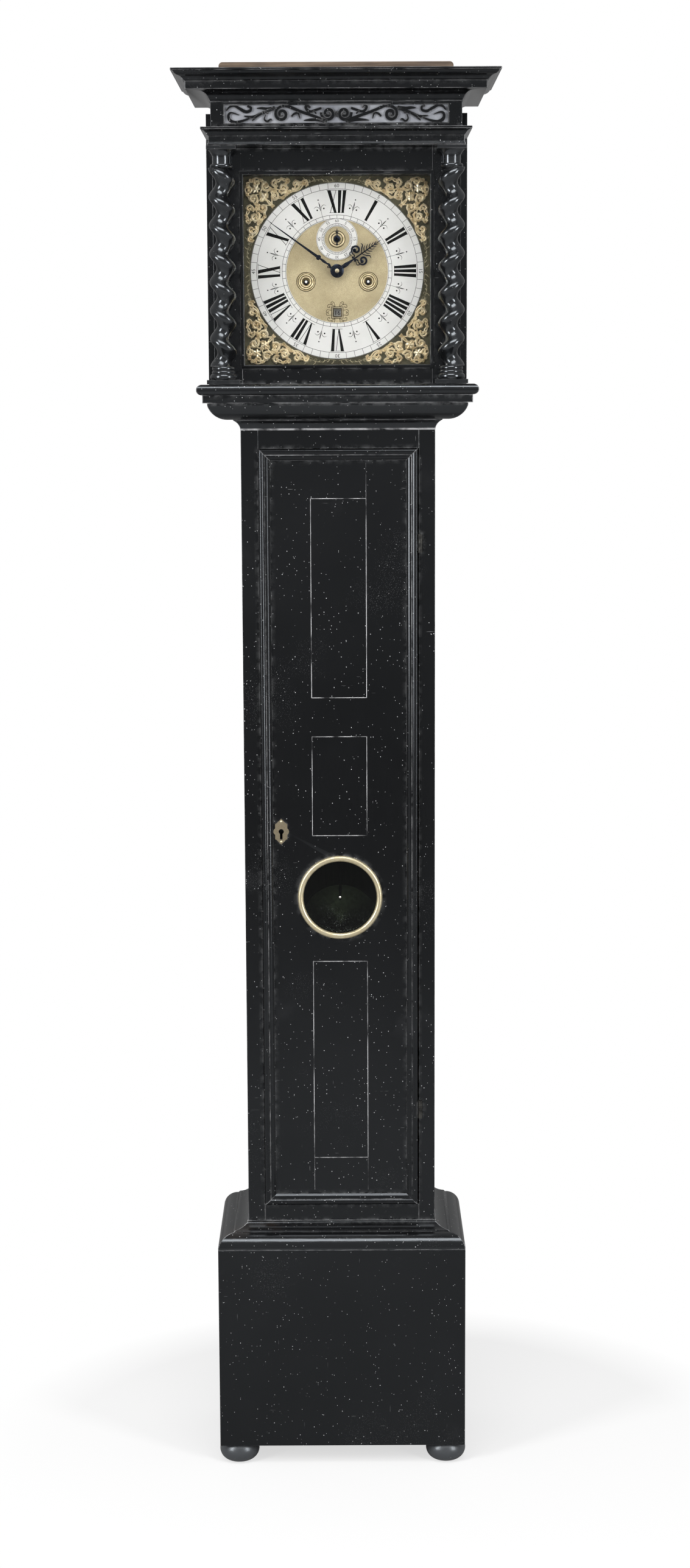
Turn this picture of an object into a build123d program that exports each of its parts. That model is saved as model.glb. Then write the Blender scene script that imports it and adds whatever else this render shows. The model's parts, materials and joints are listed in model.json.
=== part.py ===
"""Longcase clock with an ebonised case, twist-turned hood columns and a square brass dial.

Front of the clock faces -Y, +X is to the right of the front, +Z is up.
The origin is the middle of the floor under the clock, below the centre of its outer box.
"""
import os
from math import atan2, cos, degrees, hypot, radians, sin, sqrt

from build123d import *

os.makedirs("parts", exist_ok=True)

# Case, heights above the floor
foot_height = 28.0
base_top = 317.0
base_moulding_height = 31.0
trunk_rail_bottom = 23.0
trunk_rail_top = 25.0
throat_height = 36.5
hood_fascia_height = 10.5
hood_plate_height = 14.0
hood_door_height = 311.0
architrave_height = 24.0
frieze_height = 32.0
cornice_height = 38.0
dust_board_height = 14.0

# Case, widths and depths
trunk_width = 263.0
trunk_depth = 165.0
base_width = 347.0
throat_width = 348.0
hood_fascia_width = 360.0
hood_plate_width = 375.6
hood_width = 330.8
architrave_width = 356.8
architrave_fascia_width = 337.2
cornice_width = 429.2
cornice_fascia_width = 393.4
dust_board_width = 309.0
dust_board_setback = 62.0
dust_board_round = 5.0
fret_length = 295.0
fret_height = 24.5
fret_thickness = 2.0
fret_lap = 3.5
silk_thickness = 0.6

# Boards
side_board = 12.0
front_board = 18.0
backboard_thickness = 12.0
base_board = 15.0
hood_side_board = 14.0
rear_pilaster_width = 14.0
rear_pilaster_depth = 45.0
hood_front_board = 15.0
seat_board_thickness = 18.0
seat_board_gap = 0.95
cheek_height = 70.0
mask_thickness = 10.0
sill_overhang = 2.5
board_overlap = 30.0

# Working gaps
mitre_gap = 0.12
slide_gap = 0.3
door_gap = 0.5
running_gap = 0.05
arbor_play = 0.7

# Bun feet
foot_diameter = 56.0
foot_flat_diameter = 26.0
foot_neck_diameter = 44.0
foot_overhang = 1.5

# Trunk door and its brass fittings
trunk_door_width = 215.5
trunk_door_height = 1060.0
door_moulding_width = 15.75
door_moulding_rise = 6.0
lenticle_rise_on_door = 442.0
lenticle_outer = 117.0
lenticle_inner = 102.0
lenticle_rise = 5.5
lenticle_glass_thickness = 4.0
lenticle_seat = 2.8
escutcheon_inset = 26.75
escutcheon_rise_on_door = 535.0
escutcheon_width = 21.5
escutcheon_height = 36.0
escutcheon_thickness = 1.2
keyhole_radius = 3.6
keyhole_drop = 11.0
lock_width = 34.0
lock_height = 44.0
lock_depth = 14.0
bolt_height = 9.0
bolt_thickness = 4.0
bolt_length = 26.0
bolt_setback = 1.8

# Door hinges
hinge_from_door_bottom = 138.5
hinge_from_door_top = 128.0
hinge_length = 25.0
hinge_knuckle_radius = 3.1
hinge_pin_radius = 1.3
hinge_leaf_thickness = 0.7
hinge_leaf_depth = 15.0
hinge_bridge = 1.5

# Hood door and twist columns
hood_door_thickness = 18.0
sight_size = 250.0
sight_bead_width = 4.8
sight_bead_rise = 2.0
glass_lap = 2.0
hood_glass_thickness = 2.0
hood_glass_depth = 7.0
pivot_radius = 8.0
pivot_pin_radius = 2.0
pivot_pin_length = 8.0
column_x = 152.0
column_stand_off = 19.4
twist_pitch = 37.0
twist_turns = 7
twist_radius = 13.0
twist_offset = 4.8
column_plinth = 43.5
column_plinth_height = 5.6
column_abacus = 38.8
column_abacus_height = 4.6
column_torus = 16.0
column_torus_height = 8.0
column_astragal = 15.0
column_astragal_height = 4.0
column_neck = 13.8
column_neck_height = 6.0
column_collar = 14.0
column_collar_height = 4.5
column_throat = 12.0
column_flare = 17.5
column_flare_height = 10.0

# Dial
dial_size = 254.0
dial_rise = 150.7
dial_thickness = 3.0
dial_gap = 1.0
chapter_outer = 234.0
chapter_inner = 137.0
ring_thickness = 1.5
seconds_outer = 55.6
seconds_inner = 33.7
seconds_rise = 42.4
winding_x = 42.0
winding_drop = 14.0
winding_hole_radius = 5.4
winding_square = 4.8
date_drop = 55.0
date_window = 10.9
date_ring_outer = 63.0
date_ring_inner = 48.9
spandrel_reach = 84.0
spandrel_thickness = 2.5
dial_foot_radius = 4.0
dial_foot_place = 75.0
ring_joint = 0.1

# Hands, set at the time that the dial shows
hour_angle = 55.4
minute_angle = 305.6
hour_length = 72.0
minute_length = 111.0
seconds_length = 14.0
hand_thickness = 1.2
hand_stand_off = 9.0
hour_hand_lift = 3.4
minute_hand_lift = 2.0

# Movement
plate_width = 176.0
plate_height = 185.0
plate_thickness = 3.0
plate_space = 60.0
motion_space = 17.0
pillar_radius = 6.0
pillar_inset = 9.0
pillar_ring = 5.0
barrel_arbor = 3.5
train_arbor = 1.2
centre_arbor = 2.6
hour_pipe = 4.2
wheel_thickness = 2.0
wheel_hub = 3.5
wheel_arm = 3.2
pinion_length = 5.0
drum_radius = 24.0
drum_length = 36.0
flange_radius = 26.5
flange_thickness = 1.5
great_teeth = 96
strike_teeth = 84
centre_teeth = 60
third_teeth = 56
escape_teeth = 30
pinion_leaves = 8
escape_leaves = 7
escape_radius = 20.0
escape_thickness = 1.6
escape_hub = 4.0
escape_arm = 2.2
third_from_centre = 25.2
third_from_escape = 22.4
pin_wheel_x = -30.0
pin_wheel_radius = 16.5
lifting_pins = 8

# Pendulum, weights, bell
pendulum_length = 994.0
bob_radius = 56.0
bob_thickness = 24.0
rod_radius = 2.2
pendulum_back = 16.0
cock_rise = 4.6
cock_height = 12.0
cock_width = 24.0
spring_width = 7.0
spring_half = 0.15
weight_radius = 28.0
weight_length = 190.0
pulley_drop = 52.5
pulley_radius = 24.0
line_radius = 0.9
line_clearance = 0.2
bell_radius = 45.0
bell_wall = 2.5
bell_rise = 118.0
hammer_x = -64.0
hammer_rise = 54.0

# Heights worked out from the stack of parts
base_moulding_top = base_top + base_moulding_height
trunk_door_bottom = base_moulding_top + trunk_rail_bottom
door_top = trunk_door_bottom + trunk_door_height
trunk_top = door_top + trunk_rail_top
throat_top = trunk_top + throat_height
hood_bottom = throat_top + slide_gap
hood_plate_bottom = hood_bottom + hood_fascia_height
hood_floor = hood_plate_bottom + hood_plate_height
architrave_bottom = hood_floor + hood_door_height
frieze_bottom = architrave_bottom + architrave_height
cornice_bottom = frieze_bottom + frieze_height
cornice_top = cornice_bottom + cornice_height
seat_bottom = throat_top + cheek_height
seat_top = seat_bottom + seat_board_thickness
dial_centre_z = hood_floor + dial_rise
lenticle_z = trunk_door_bottom + lenticle_rise_on_door
escutcheon_z = trunk_door_bottom + escutcheon_rise_on_door
hinge_low_z = trunk_door_bottom + hinge_from_door_bottom
hinge_high_z = door_top - hinge_from_door_top
pulley_z = throat_top - pulley_drop
bell_rim_z = dial_centre_z + bell_rise
hammer_z = dial_centre_z + hammer_rise

# Half widths, steps and depths worked out from the widths
trunk_half = trunk_width / 2
door_half = trunk_door_width / 2
escutcheon_x = escutcheon_inset - door_half
hood_half = hood_width / 2
cornice_step = (cornice_width - trunk_width) / 2
base_step = (base_width - trunk_width) / 2
hood_step = (hood_width - trunk_width) / 2
back_y = (trunk_depth + cornice_step) / 2
trunk_front = back_y - trunk_depth
base_front = trunk_front - base_step
hood_front = trunk_front - hood_step
backboard_front = back_y - backboard_thickness
trunk_inner_front = trunk_front + front_board

# Front to back places inside the hood
door_front = trunk_front - 1.0
door_back = door_front + hood_door_thickness
mask_front = door_back + 2 * door_gap
mask_back = mask_front + mask_thickness
dial_front = mask_back + dial_gap
dial_back = dial_front + dial_thickness
seat_board_front = dial_back + seat_board_gap
ring_front = dial_front - ring_thickness
plate_front = dial_back + motion_space
space_front = plate_front + plate_thickness
space_back = space_front + plate_space
plate_back = space_back + plate_thickness
barrel_y = space_front + plate_space / 2
pendulum_y = plate_back + pendulum_back

# Arbor centres across and up, as seen from the front
barrel_z = dial_centre_z - winding_drop
escape_z = dial_centre_z + seconds_rise
third_rise = (third_from_centre**2 - third_from_escape**2 + seconds_rise**2) / (2 * seconds_rise)
third_x = sqrt(third_from_centre**2 - third_rise**2)
third_z = dial_centre_z + third_rise
anchor_z = escape_z + escape_radius * sqrt(2)
great_distance = hypot(winding_x, winding_drop)
pin_wheel_z = barrel_z + sqrt(great_distance**2 - (pin_wheel_x + winding_x) ** 2)
cock_bottom = anchor_z + cock_rise
bob_z = cock_bottom - pendulum_length
plate_bottom = seat_top
plate_top = plate_bottom + plate_height


def front_plane(x, y, z):
    """Plane as seen from the front of the clock, drawn across and up, facing the viewer."""
    return Plane(origin=(x, y, z), x_dir=(1, 0, 0), z_dir=(0, -1, 0))


def hand_plane(y, angle):
    """Front plane on the dial centre, turned clockwise so that its Y axis points along a hand."""
    turn = radians(angle)
    return Plane(origin=(0, y, dial_centre_z), x_dir=(cos(turn), 0, -sin(turn)), z_dir=(0, -1, 0))


def finish(builder, label):
    """Name a finished piece and write it."""
    builder.part.label = label
    export_step(builder.part, f"parts/{label}.step")


def board(x0, x1, y0, y1, z0, z1):
    """Add a plain board between these faces to the part in hand."""
    with Locations(((x0 + x1) / 2, (y0 + y1) / 2, (z0 + z1) / 2)):
        Box(x1 - x0, y1 - y0, z1 - z0)


def rod(x, z, y0, y1, radius):
    """Add a round bar that runs front to back to the part in hand."""
    with BuildSketch(front_plane(x, y1, z)) as section:
        Circle(radius)
    extrude(section.sketch, amount=y1 - y0)


def outline(steps):
    """Draw a closed outline of points.

    A point that an arc runs to has a third value, the radius as a share of the arc's chord.
    """
    first = steps[0][:2]
    here = first
    for step in list(steps[1:]) + [first]:
        there = step[:2]
        if len(step) == 3:
            RadiusArc(here, there, step[2] * hypot(there[0] - here[0], there[1] - here[1]))
        else:
            Line(here, there)
        here = there


def moulding_length(plane, steps, amount, corner, mitre_normal, keep):
    """One straight length of a moulding, cut to a mitre at the front corner."""
    with BuildPart() as length:
        with BuildSketch(plane):
            with BuildLine():
                outline(steps)
            make_face()
        extrude(amount=amount)
        split(bisect_by=Plane(origin=corner, z_dir=mitre_normal), keep=keep)
    return length.part


def mitred(steps, half_width, front):
    """Front and two side lengths of one moulding round the case, mitred at the front corners.

    Each step is a projection from the face and a height.
    """
    reach = max(step[0] for step in steps)
    gap = mitre_gap / 2 * sqrt(2)
    front_profile = Plane(origin=(0, front, 0), x_dir=(0, -1, 0), z_dir=(-1, 0, 0))
    side_profile = Plane(origin=(half_width, back_y, 0), x_dir=(1, 0, 0), z_dir=(0, -1, 0))
    half_front = moulding_length(
        front_profile, steps, half_width + reach, (gap - half_width, front, 0), (-1, 1, 0), Keep.BOTTOM
    )
    side = moulding_length(
        side_profile, steps, back_y - front + reach, (half_width + gap, front, 0), (1, 1, 0), Keep.TOP
    )
    with BuildPart() as pieces:
        add(half_front)
        add(side)
        mirror(about=Plane.YZ)
    return pieces.part


def toothed(count, pitch_radius, addendum, dedendum, turn):
    """Draw a toothed outline with one tooth centred at the turn, in degrees from +X."""
    root = pitch_radius - dedendum
    tip = pitch_radius + addendum
    points = []
    for i in range(count):
        for radius, share in ((root, -0.25), (tip, -0.1), (tip, 0.1), (root, 0.25)):
            angle = radians(turn + (i + share) * 360 / count)
            points.append((radius * cos(angle), radius * sin(angle)))
    with BuildLine() as teeth:
        Polyline(*points, close=True)
    make_face(teeth.edges())


def bearing(x0, z0, x1, z1):
    """Direction from one arbor to another, in degrees from +X."""
    return degrees(atan2(z1 - z0, x1 - x0))


def mesh(distance, wheel_teeth, leaves):
    """Pitch radii of a wheel and its pinion, with their tooth heights."""
    module = 2 * distance / (wheel_teeth + leaves)
    return module * wheel_teeth / 2, module * leaves / 2, 0.55 * module, 0.8 * module


def wheel(x, z, y0, count, pitch_radius, addendum, dedendum, turn, bore):
    """Add a crossed-out wheel with four arms to the part in hand."""
    rim = 0.84 * (pitch_radius - dedendum)
    with BuildSketch(front_plane(x, y0 + wheel_thickness, z)) as face:
        toothed(count, pitch_radius, addendum, dedendum, turn)
        Circle(rim, mode=Mode.SUBTRACT)
        Circle(bore + wheel_hub)
        for arm in (0, 90):
            Rectangle(2.1 * rim, wheel_arm, rotation=arm)
        if bore:
            Circle(bore, mode=Mode.SUBTRACT)
    extrude(face.sketch, amount=wheel_thickness)


def pinion(x, z, y0, count, pitch_radius, addendum, dedendum, turn):
    """Add a pinion, cut wider than the wheel that drives it, to the part in hand."""
    with BuildSketch(front_plane(x, y0 + pinion_length, z)) as face:
        toothed(count, pitch_radius, addendum, dedendum, turn)
    extrude(face.sketch, amount=pinion_length)


# Bun feet, turned, one under each corner of the base
foot_x = base_width / 2 + foot_overhang - foot_diameter / 2
foot_front = base_front - foot_overhang + foot_diameter / 2
foot_back = back_y - foot_diameter / 2
with BuildPart() as one_foot:
    with BuildSketch(Plane.XZ):
        with BuildLine():
            Polyline((0, foot_height), (0, 0), (foot_flat_diameter / 2, 0))
            ThreePointArc(
                (foot_flat_diameter / 2, 0),
                (foot_diameter / 2, 0.55 * foot_height),
                (foot_neck_diameter / 2, foot_height),
            )
            Line((foot_neck_diameter / 2, foot_height), (0, foot_height))
        make_face()
    revolve(axis=Axis.Z)
with BuildPart() as bun_feet:
    for foot_y in (foot_front, foot_back):
        for foot_side in (-1, 1):
            add(one_foot.part.moved(Location((foot_side * foot_x, foot_y, 0))))
finish(bun_feet, "bun_feet")

# Base box
base_half = base_width / 2
with BuildPart() as base_front_board:
    board(-base_half, base_half, base_front, base_front + base_board, foot_height, base_top)
finish(base_front_board, "base_front_board")

with BuildPart() as base_side_boards:
    board(base_half - side_board, base_half, base_front + base_board, back_y, foot_height, base_top)
    mirror(about=Plane.YZ)
finish(base_side_boards, "base_side_boards")

base_inner = base_half - side_board
with BuildPart() as base_bottom_board:
    board(-base_inner, base_inner, base_front + base_board, backboard_front, foot_height,
          foot_height + side_board)
finish(base_bottom_board, "base_bottom_board")

# Base moulding: an ovolo from the base box, then a hollow up to the trunk
ovolo_top = base_top + 0.62 * base_moulding_height
ovolo_step = 0.5 * base_step
base_lip = 3.0
fillet_width = 2.0
base_moulding_steps = [
    (0, base_top),
    (base_step, base_top),
    (base_step, base_top + base_lip),
    (ovolo_step, ovolo_top, -0.754),
    (ovolo_step - fillet_width, ovolo_top + fillet_width),
    (fillet_width, base_moulding_top - base_lip, 1.345),
    (fillet_width, base_moulding_top),
    (0, base_moulding_top),
]
with BuildPart() as base_moulding:
    add(mitred(base_moulding_steps, trunk_half, trunk_front))
finish(base_moulding, "base_moulding")

# Trunk: side boards run down into the base and up as cheeks that carry the movement
with BuildPart() as trunk_side_boards:
    board(trunk_half - side_board, trunk_half, trunk_inner_front, backboard_front,
          base_top - board_overlap, throat_top)
    board(trunk_half - side_board, trunk_half, seat_board_front, backboard_front,
          throat_top, seat_bottom)
    mirror(about=Plane.YZ)
finish(trunk_side_boards, "trunk_side_boards")

# Stiles and rails round the trunk door, with room for the hinge leaves on the right
hinge_gap = 2 * hinge_leaf_thickness + 0.4 * door_gap
trunk_frame_bottom = base_top - board_overlap
with BuildPart() as left_stile:
    board(-trunk_half, -door_half - door_gap, trunk_front, trunk_inner_front,
          trunk_frame_bottom, throat_top)
with BuildPart() as right_stile:
    board(door_half + hinge_gap, trunk_half, trunk_front, trunk_inner_front,
          trunk_frame_bottom, throat_top)
with BuildPart() as trunk_front_frame:
    add(left_stile.part)
    add(right_stile.part)
    for rail_bottom, rail_top in (
        (trunk_frame_bottom, trunk_door_bottom - door_gap),
        (door_top + door_gap, throat_top),
    ):
        board(mitre_gap - door_half - door_gap, door_half + hinge_gap - mitre_gap,
              trunk_front, trunk_inner_front, rail_bottom, rail_top)
finish(trunk_front_frame, "trunk_front_frame")

# Throat moulding: a hollow, a fillet and a cushion that carries the hood
throat_step = (throat_width - trunk_width) / 2
hollow_step = 9.5
hollow_top = trunk_top + 0.37 * throat_height
throat_lip = 3.0
throat_fillet = 1.5
throat_steps = [
    (0, trunk_top),
    (hollow_step, hollow_top, 0.969),
    (hollow_step, hollow_top + throat_fillet),
    (hollow_step + fillet_width, hollow_top + throat_fillet),
    (throat_step, throat_top - throat_lip, -0.76),
    (throat_step, throat_top),
    (0, throat_top),
]
with BuildPart() as throat_moulding:
    add(mitred(throat_steps, trunk_half, trunk_front))
finish(throat_moulding, "throat_moulding")

# Backboard: one board from the base floor to the top of the hood, with ears behind the hood
ear_half = hood_half - hood_side_board - 1.4
with BuildPart() as backboard:
    board(-base_inner, base_inner, backboard_front, back_y, foot_height, base_top)
    board(-trunk_half, trunk_half, backboard_front, back_y, base_top, hood_floor)
    board(-ear_half, ear_half, backboard_front, back_y, hood_floor, cornice_bottom - door_gap)
finish(backboard, "backboard")

# Seat board across the cheeks, bored for the gut lines and slotted for the pendulum rod
fall_x = drum_radius + line_radius + line_clearance
line_hole_radius = 4.0
rod_slot_width = 34.0
rod_slot_depth = backboard_front - pendulum_y + 10.0
with BuildPart() as seat_board:
    board(-trunk_half, trunk_half, seat_board_front, backboard_front, seat_bottom, seat_top)
    with Locations(*[
        (side * winding_x + fall * fall_x, barrel_y, seat_top)
        for side in (-1, 1) for fall in (-1, 1)
    ]):
        Hole(line_hole_radius)
    with Locations((0, backboard_front, seat_top)):
        Box(rod_slot_width, 2 * rod_slot_depth, 4 * seat_board_thickness, mode=Mode.SUBTRACT)
finish(seat_board, "seat_board")

# Trunk door: a flat board with an opening for the glass and a keyhole
with BuildPart() as trunk_door_panel:
    board(-door_half, door_half, trunk_front, trunk_inner_front, trunk_door_bottom, door_top)
    with BuildSketch(front_plane(0, trunk_front, lenticle_z)):
        Circle(lenticle_inner / 2 + lenticle_seat)
    extrude(amount=-lenticle_glass_thickness - 1.0, mode=Mode.SUBTRACT)
    with BuildSketch(front_plane(0, trunk_front, lenticle_z)):
        Circle(lenticle_inner / 2 - 1.0)
    extrude(amount=-front_board, mode=Mode.SUBTRACT)
    with BuildSketch(front_plane(escutcheon_x, trunk_front, escutcheon_z)):
        Circle(keyhole_radius)
        with Locations((0, -keyhole_drop / 2)):
            Rectangle(keyhole_radius, keyhole_drop)
    extrude(amount=-front_board, mode=Mode.SUBTRACT)
finish(trunk_door_panel, "trunk_door_panel")

# Door moulding: two reeds round the edge of the door, mitred at the corners
reed = door_moulding_width / 2
reed_spring = door_moulding_rise - 2.5
reed_valley = door_moulding_rise - 2.0
reed_end = door_moulding_rise - 3.0
reed_foot = 1.5
reed_lip = 2.0
reed_steps = [
    (0, 0),
    (0, reed_spring),
    (reed, reed_valley, 0.558),
    (2 * reed - reed_lip, reed_end, 0.738),
    (2 * reed, reed_foot),
    (2 * reed, 0),
]


def reeded_length(length, turn, reach):
    """One mitred length of the door moulding, laid on one edge of the door."""
    with BuildPart() as strip:
        with BuildSketch(Plane(origin=(0, 0, 0), x_dir=(0, 1, 0), z_dir=(1, 0, 0))):
            with BuildLine():
                outline(reed_steps)
            make_face()
        extrude(amount=length / 2 - mitre_gap / 2, both=True)
        for end in (-1, 1):
            split(
                bisect_by=Plane(origin=(end * (length - mitre_gap) / 2, 0, 0), z_dir=(end, 1, 0)),
                keep=Keep.BOTTOM,
            )
    centre = front_plane(0, trunk_front, (trunk_door_bottom + door_top) / 2)
    return centre.from_local_coords(Pos(*reach) * Rot(0, 0, turn) * strip.part)


with BuildPart() as trunk_door_moulding:
    add(reeded_length(trunk_door_width, 0, (0, -trunk_door_height / 2, 0)))
    add(reeded_length(trunk_door_width, 180, (0, trunk_door_height / 2, 0)))
    add(reeded_length(trunk_door_height, 90, (door_half, 0, 0)))
    add(reeded_length(trunk_door_height, -90, (-door_half, 0, 0)))
finish(trunk_door_moulding, "trunk_door_moulding")

# Glass of the lenticle, and the half-round brass ring that holds it
glass_back = trunk_front + lenticle_glass_thickness + 1.0
with BuildPart() as lenticle_glass:
    rod(0, lenticle_z, glass_back - lenticle_glass_thickness, glass_back,
        lenticle_inner / 2 + lenticle_seat - running_gap)
finish(lenticle_glass, "lenticle_glass")

ring_width = (lenticle_outer - lenticle_inner) / 2
with BuildPart() as lenticle_ring:
    with BuildSketch(Plane.XY.offset(lenticle_z)):
        with BuildLine():
            Line((lenticle_inner / 2, trunk_front), (lenticle_outer / 2, trunk_front))
            ThreePointArc(
                (lenticle_outer / 2, trunk_front),
                (lenticle_inner / 2 + ring_width / 2, trunk_front - lenticle_rise),
                (lenticle_inner / 2, trunk_front),
            )
        make_face()
    revolve(axis=Axis((0, 0, lenticle_z), (0, 1, 0)))
finish(lenticle_ring, "lenticle_ring")

# Escutcheon with a keyhole, on the left of the door
lobe = 0.24 * escutcheon_width
shoulder = 0.3 * escutcheon_height
with BuildPart() as escutcheon:
    with BuildSketch(front_plane(escutcheon_x, trunk_front, escutcheon_z)):
        with Locations((-escutcheon_width / 2 + lobe, 0), (escutcheon_width / 2 - lobe, 0)):
            Circle(lobe)
        Rectangle(0.78 * escutcheon_width, 2 * shoulder)
        for flip in (-1, 1):
            with BuildLine():
                tip = (0, flip * escutcheon_height / 2)
                left = (-0.33 * escutcheon_width, flip * shoulder)
                right = (0.33 * escutcheon_width, flip * shoulder)
                Polyline(left, tip, right, close=True)
            make_face()
        Circle(keyhole_radius, mode=Mode.SUBTRACT)
        with Locations((0, -keyhole_drop / 2)):
            Rectangle(keyhole_radius, keyhole_drop, mode=Mode.SUBTRACT)
    extrude(amount=escutcheon_thickness)
finish(escutcheon, "escutcheon")

# Lock case on the back of the door, with a channel for its bolt
lock_x0 = -door_half + 2.0
bolt_y0 = trunk_inner_front + bolt_setback
with BuildPart() as trunk_door_lock:
    board(lock_x0, lock_x0 + lock_width, trunk_inner_front, trunk_inner_front + lock_depth,
          escutcheon_z - lock_height / 2, escutcheon_z + lock_height / 2)
    with Locations((lock_x0 + bolt_length / 2, bolt_y0 + bolt_thickness / 2, escutcheon_z)):
        Box(bolt_length + 0.4, bolt_thickness + 0.4, bolt_height + 0.4, mode=Mode.SUBTRACT)
finish(trunk_door_lock, "trunk_door_lock")

with BuildPart() as lock_bolt:
    board(lock_x0, lock_x0 + bolt_length - 0.4, bolt_y0, bolt_y0 + bolt_thickness,
          escutcheon_z - bolt_height / 2, escutcheon_z + bolt_height / 2)
finish(lock_bolt, "lock_bolt")

# Door hinges: the pin stands off the front, so that the door swings clear of its stile
hinge_x = door_half + hinge_gap / 2 + hinge_knuckle_radius - 0.4
hinge_y = trunk_front - hinge_knuckle_radius - 0.3
knuckle = (hinge_length - 2 * slide_gap) / 3
leaf_back = trunk_front + hinge_leaf_depth


def hinge_leaf(z, leaf_x, knuckle_spans):
    """Add one hinge leaf, with its knuckles round the pin, to the part in hand."""
    board(leaf_x, leaf_x + hinge_leaf_thickness, trunk_front - hinge_bridge, leaf_back,
          z - hinge_length / 2, z + hinge_length / 2)
    for low, high in knuckle_spans:
        with BuildSketch(Plane.XY.offset(low)) as section:
            with Locations((hinge_x, hinge_y)):
                Circle(hinge_knuckle_radius)
            with Locations(((leaf_x + hinge_x) / 2, trunk_front - hinge_bridge / 2 - 0.2)):
                Rectangle(hinge_x - leaf_x, hinge_bridge)
            with Locations((hinge_x, hinge_y)):
                Circle(hinge_pin_radius + running_gap, mode=Mode.SUBTRACT)
        extrude(section.sketch, amount=high - low)


def outer_knuckles(z):
    """Heights of the two end knuckles of a hinge."""
    low = z - hinge_length / 2
    return (low, low + knuckle), (low + 2 * knuckle + 2 * slide_gap, low + hinge_length)


with BuildPart() as trunk_case_hinges:
    for hinge_z in (hinge_low_z, hinge_high_z):
        hinge_leaf(hinge_z, door_half + hinge_gap - hinge_leaf_thickness, outer_knuckles(hinge_z))
        # the middle of the leaf stays behind the door's own knuckle
        with Locations((door_half + hinge_gap, trunk_front - hinge_bridge / 2, hinge_z)):
            Box(4, hinge_bridge, knuckle + 2 * slide_gap, mode=Mode.SUBTRACT)
        with Locations((hinge_x, hinge_y, hinge_z)):
            Cylinder(hinge_pin_radius, hinge_length)
finish(trunk_case_hinges, "trunk_case_hinges")

with BuildPart() as trunk_door_hinges:
    for hinge_z in (hinge_low_z, hinge_high_z):
        hinge_leaf(hinge_z, door_half, ((hinge_z - knuckle / 2, hinge_z + knuckle / 2),))
        for low, high in outer_knuckles(hinge_z):
            with Locations((door_half, trunk_front - hinge_bridge / 2, (low + high) / 2)):
                Box(4, hinge_bridge, high - low + 2 * slide_gap, mode=Mode.SUBTRACT)
finish(trunk_door_hinges, "trunk_door_hinges")

# Hood base: a fascia and a round-nosed plate that slides on the throat moulding, with a sill
hood_reach = (hood_plate_width - trunk_width) / 2
fascia_reach = (hood_fascia_width - trunk_width) / 2
nose = hood_plate_height / 2
quarter_round = sqrt(0.5)
hood_base_steps = [
    (sill_overhang, hood_bottom),
    (fascia_reach, hood_bottom),
    (fascia_reach, hood_plate_bottom),
    (hood_reach - nose, hood_plate_bottom),
    (hood_reach, hood_plate_bottom + nose, -quarter_round),
    (hood_reach - nose, hood_floor, -quarter_round),
    (sill_overhang, hood_floor),
]
pivot_x = hood_half - pivot_radius
pivot_y = door_back - pivot_radius
with BuildPart() as hood_base_moulding:
    add(mitred(hood_base_steps, trunk_half, trunk_front))
    board(-trunk_half - sill_overhang + mitre_gap, trunk_half + sill_overhang - mitre_gap,
          trunk_front - sill_overhang + mitre_gap, mask_back + seat_board_gap, hood_bottom, hood_floor)
    with Locations((pivot_x, pivot_y, hood_floor)):
        Hole(pivot_pin_radius + running_gap, depth=pivot_pin_length + 1)
finish(hood_base_moulding, "hood_base_moulding")

# Hood sides: behind the door below, and forward to the frieze above it, with a pilaster at each back corner
hood_inner = hood_half - hood_side_board
frieze_back = hood_front + hood_front_board
pilaster_front = back_y - rear_pilaster_depth
with BuildPart() as hood_side_boards:
    board(hood_inner, hood_half, mask_front, back_y, hood_floor, cornice_bottom)
    board(hood_inner, hood_half, frieze_back, mask_front, architrave_bottom, cornice_bottom)
    board(hood_half, hood_half + rear_pilaster_width, pilaster_front, back_y, hood_floor, cornice_bottom)
    with Locations(Plane(origin=(pivot_x, pivot_y, architrave_bottom), z_dir=(0, 0, -1))):
        Hole(pivot_pin_radius + running_gap, depth=pivot_pin_length + 1)
    mirror(about=Plane.YZ)
finish(hood_side_boards, "hood_side_boards")

# Mask: the board behind the hood door that frames the dial
with BuildPart() as hood_mask:
    board(-hood_inner, hood_inner, mask_front, mask_back, hood_floor, frieze_bottom)
    with Locations((0, mask_front, dial_centre_z)):
        Box(sight_size, 3 * mask_thickness, sight_size, mode=Mode.SUBTRACT)
finish(hood_mask, "hood_mask")

# Hood door: a framed front with a bead round the glass, hung on pins at the right
hood_door_bottom = hood_floor + door_gap
hood_door_top = architrave_bottom - door_gap
glass_front = door_front + hood_glass_depth
bead_size = sight_size + 2 * sight_bead_width
rebate_size = sight_size + 2 * glass_lap
with BuildPart() as hood_door_frame:
    board(-hood_half, hood_half, door_front, door_back, hood_door_bottom, hood_door_top)
    fillet(hood_door_frame.edges().filter_by(Axis.Z).sort_by(Axis.Y)[-2:].sort_by(Axis.X)[-1],
           pivot_radius)
    with BuildSketch(front_plane(0, door_front, dial_centre_z)):
        Rectangle(bead_size, bead_size)
    extrude(amount=sight_bead_rise)
    with BuildSketch(front_plane(0, door_back, dial_centre_z)):
        Rectangle(sight_size, sight_size)
    extrude(amount=hood_door_thickness + sight_bead_rise, mode=Mode.SUBTRACT)
    with BuildSketch(front_plane(0, door_back, dial_centre_z)):
        Rectangle(rebate_size, rebate_size)
    extrude(amount=door_back - glass_front, mode=Mode.SUBTRACT)
    with Locations((pivot_x, pivot_y, (hood_door_bottom + hood_door_top) / 2)):
        Cylinder(pivot_pin_radius, hood_door_top - hood_door_bottom + 2 * pivot_pin_length)
finish(hood_door_frame, "hood_door_frame")

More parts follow.
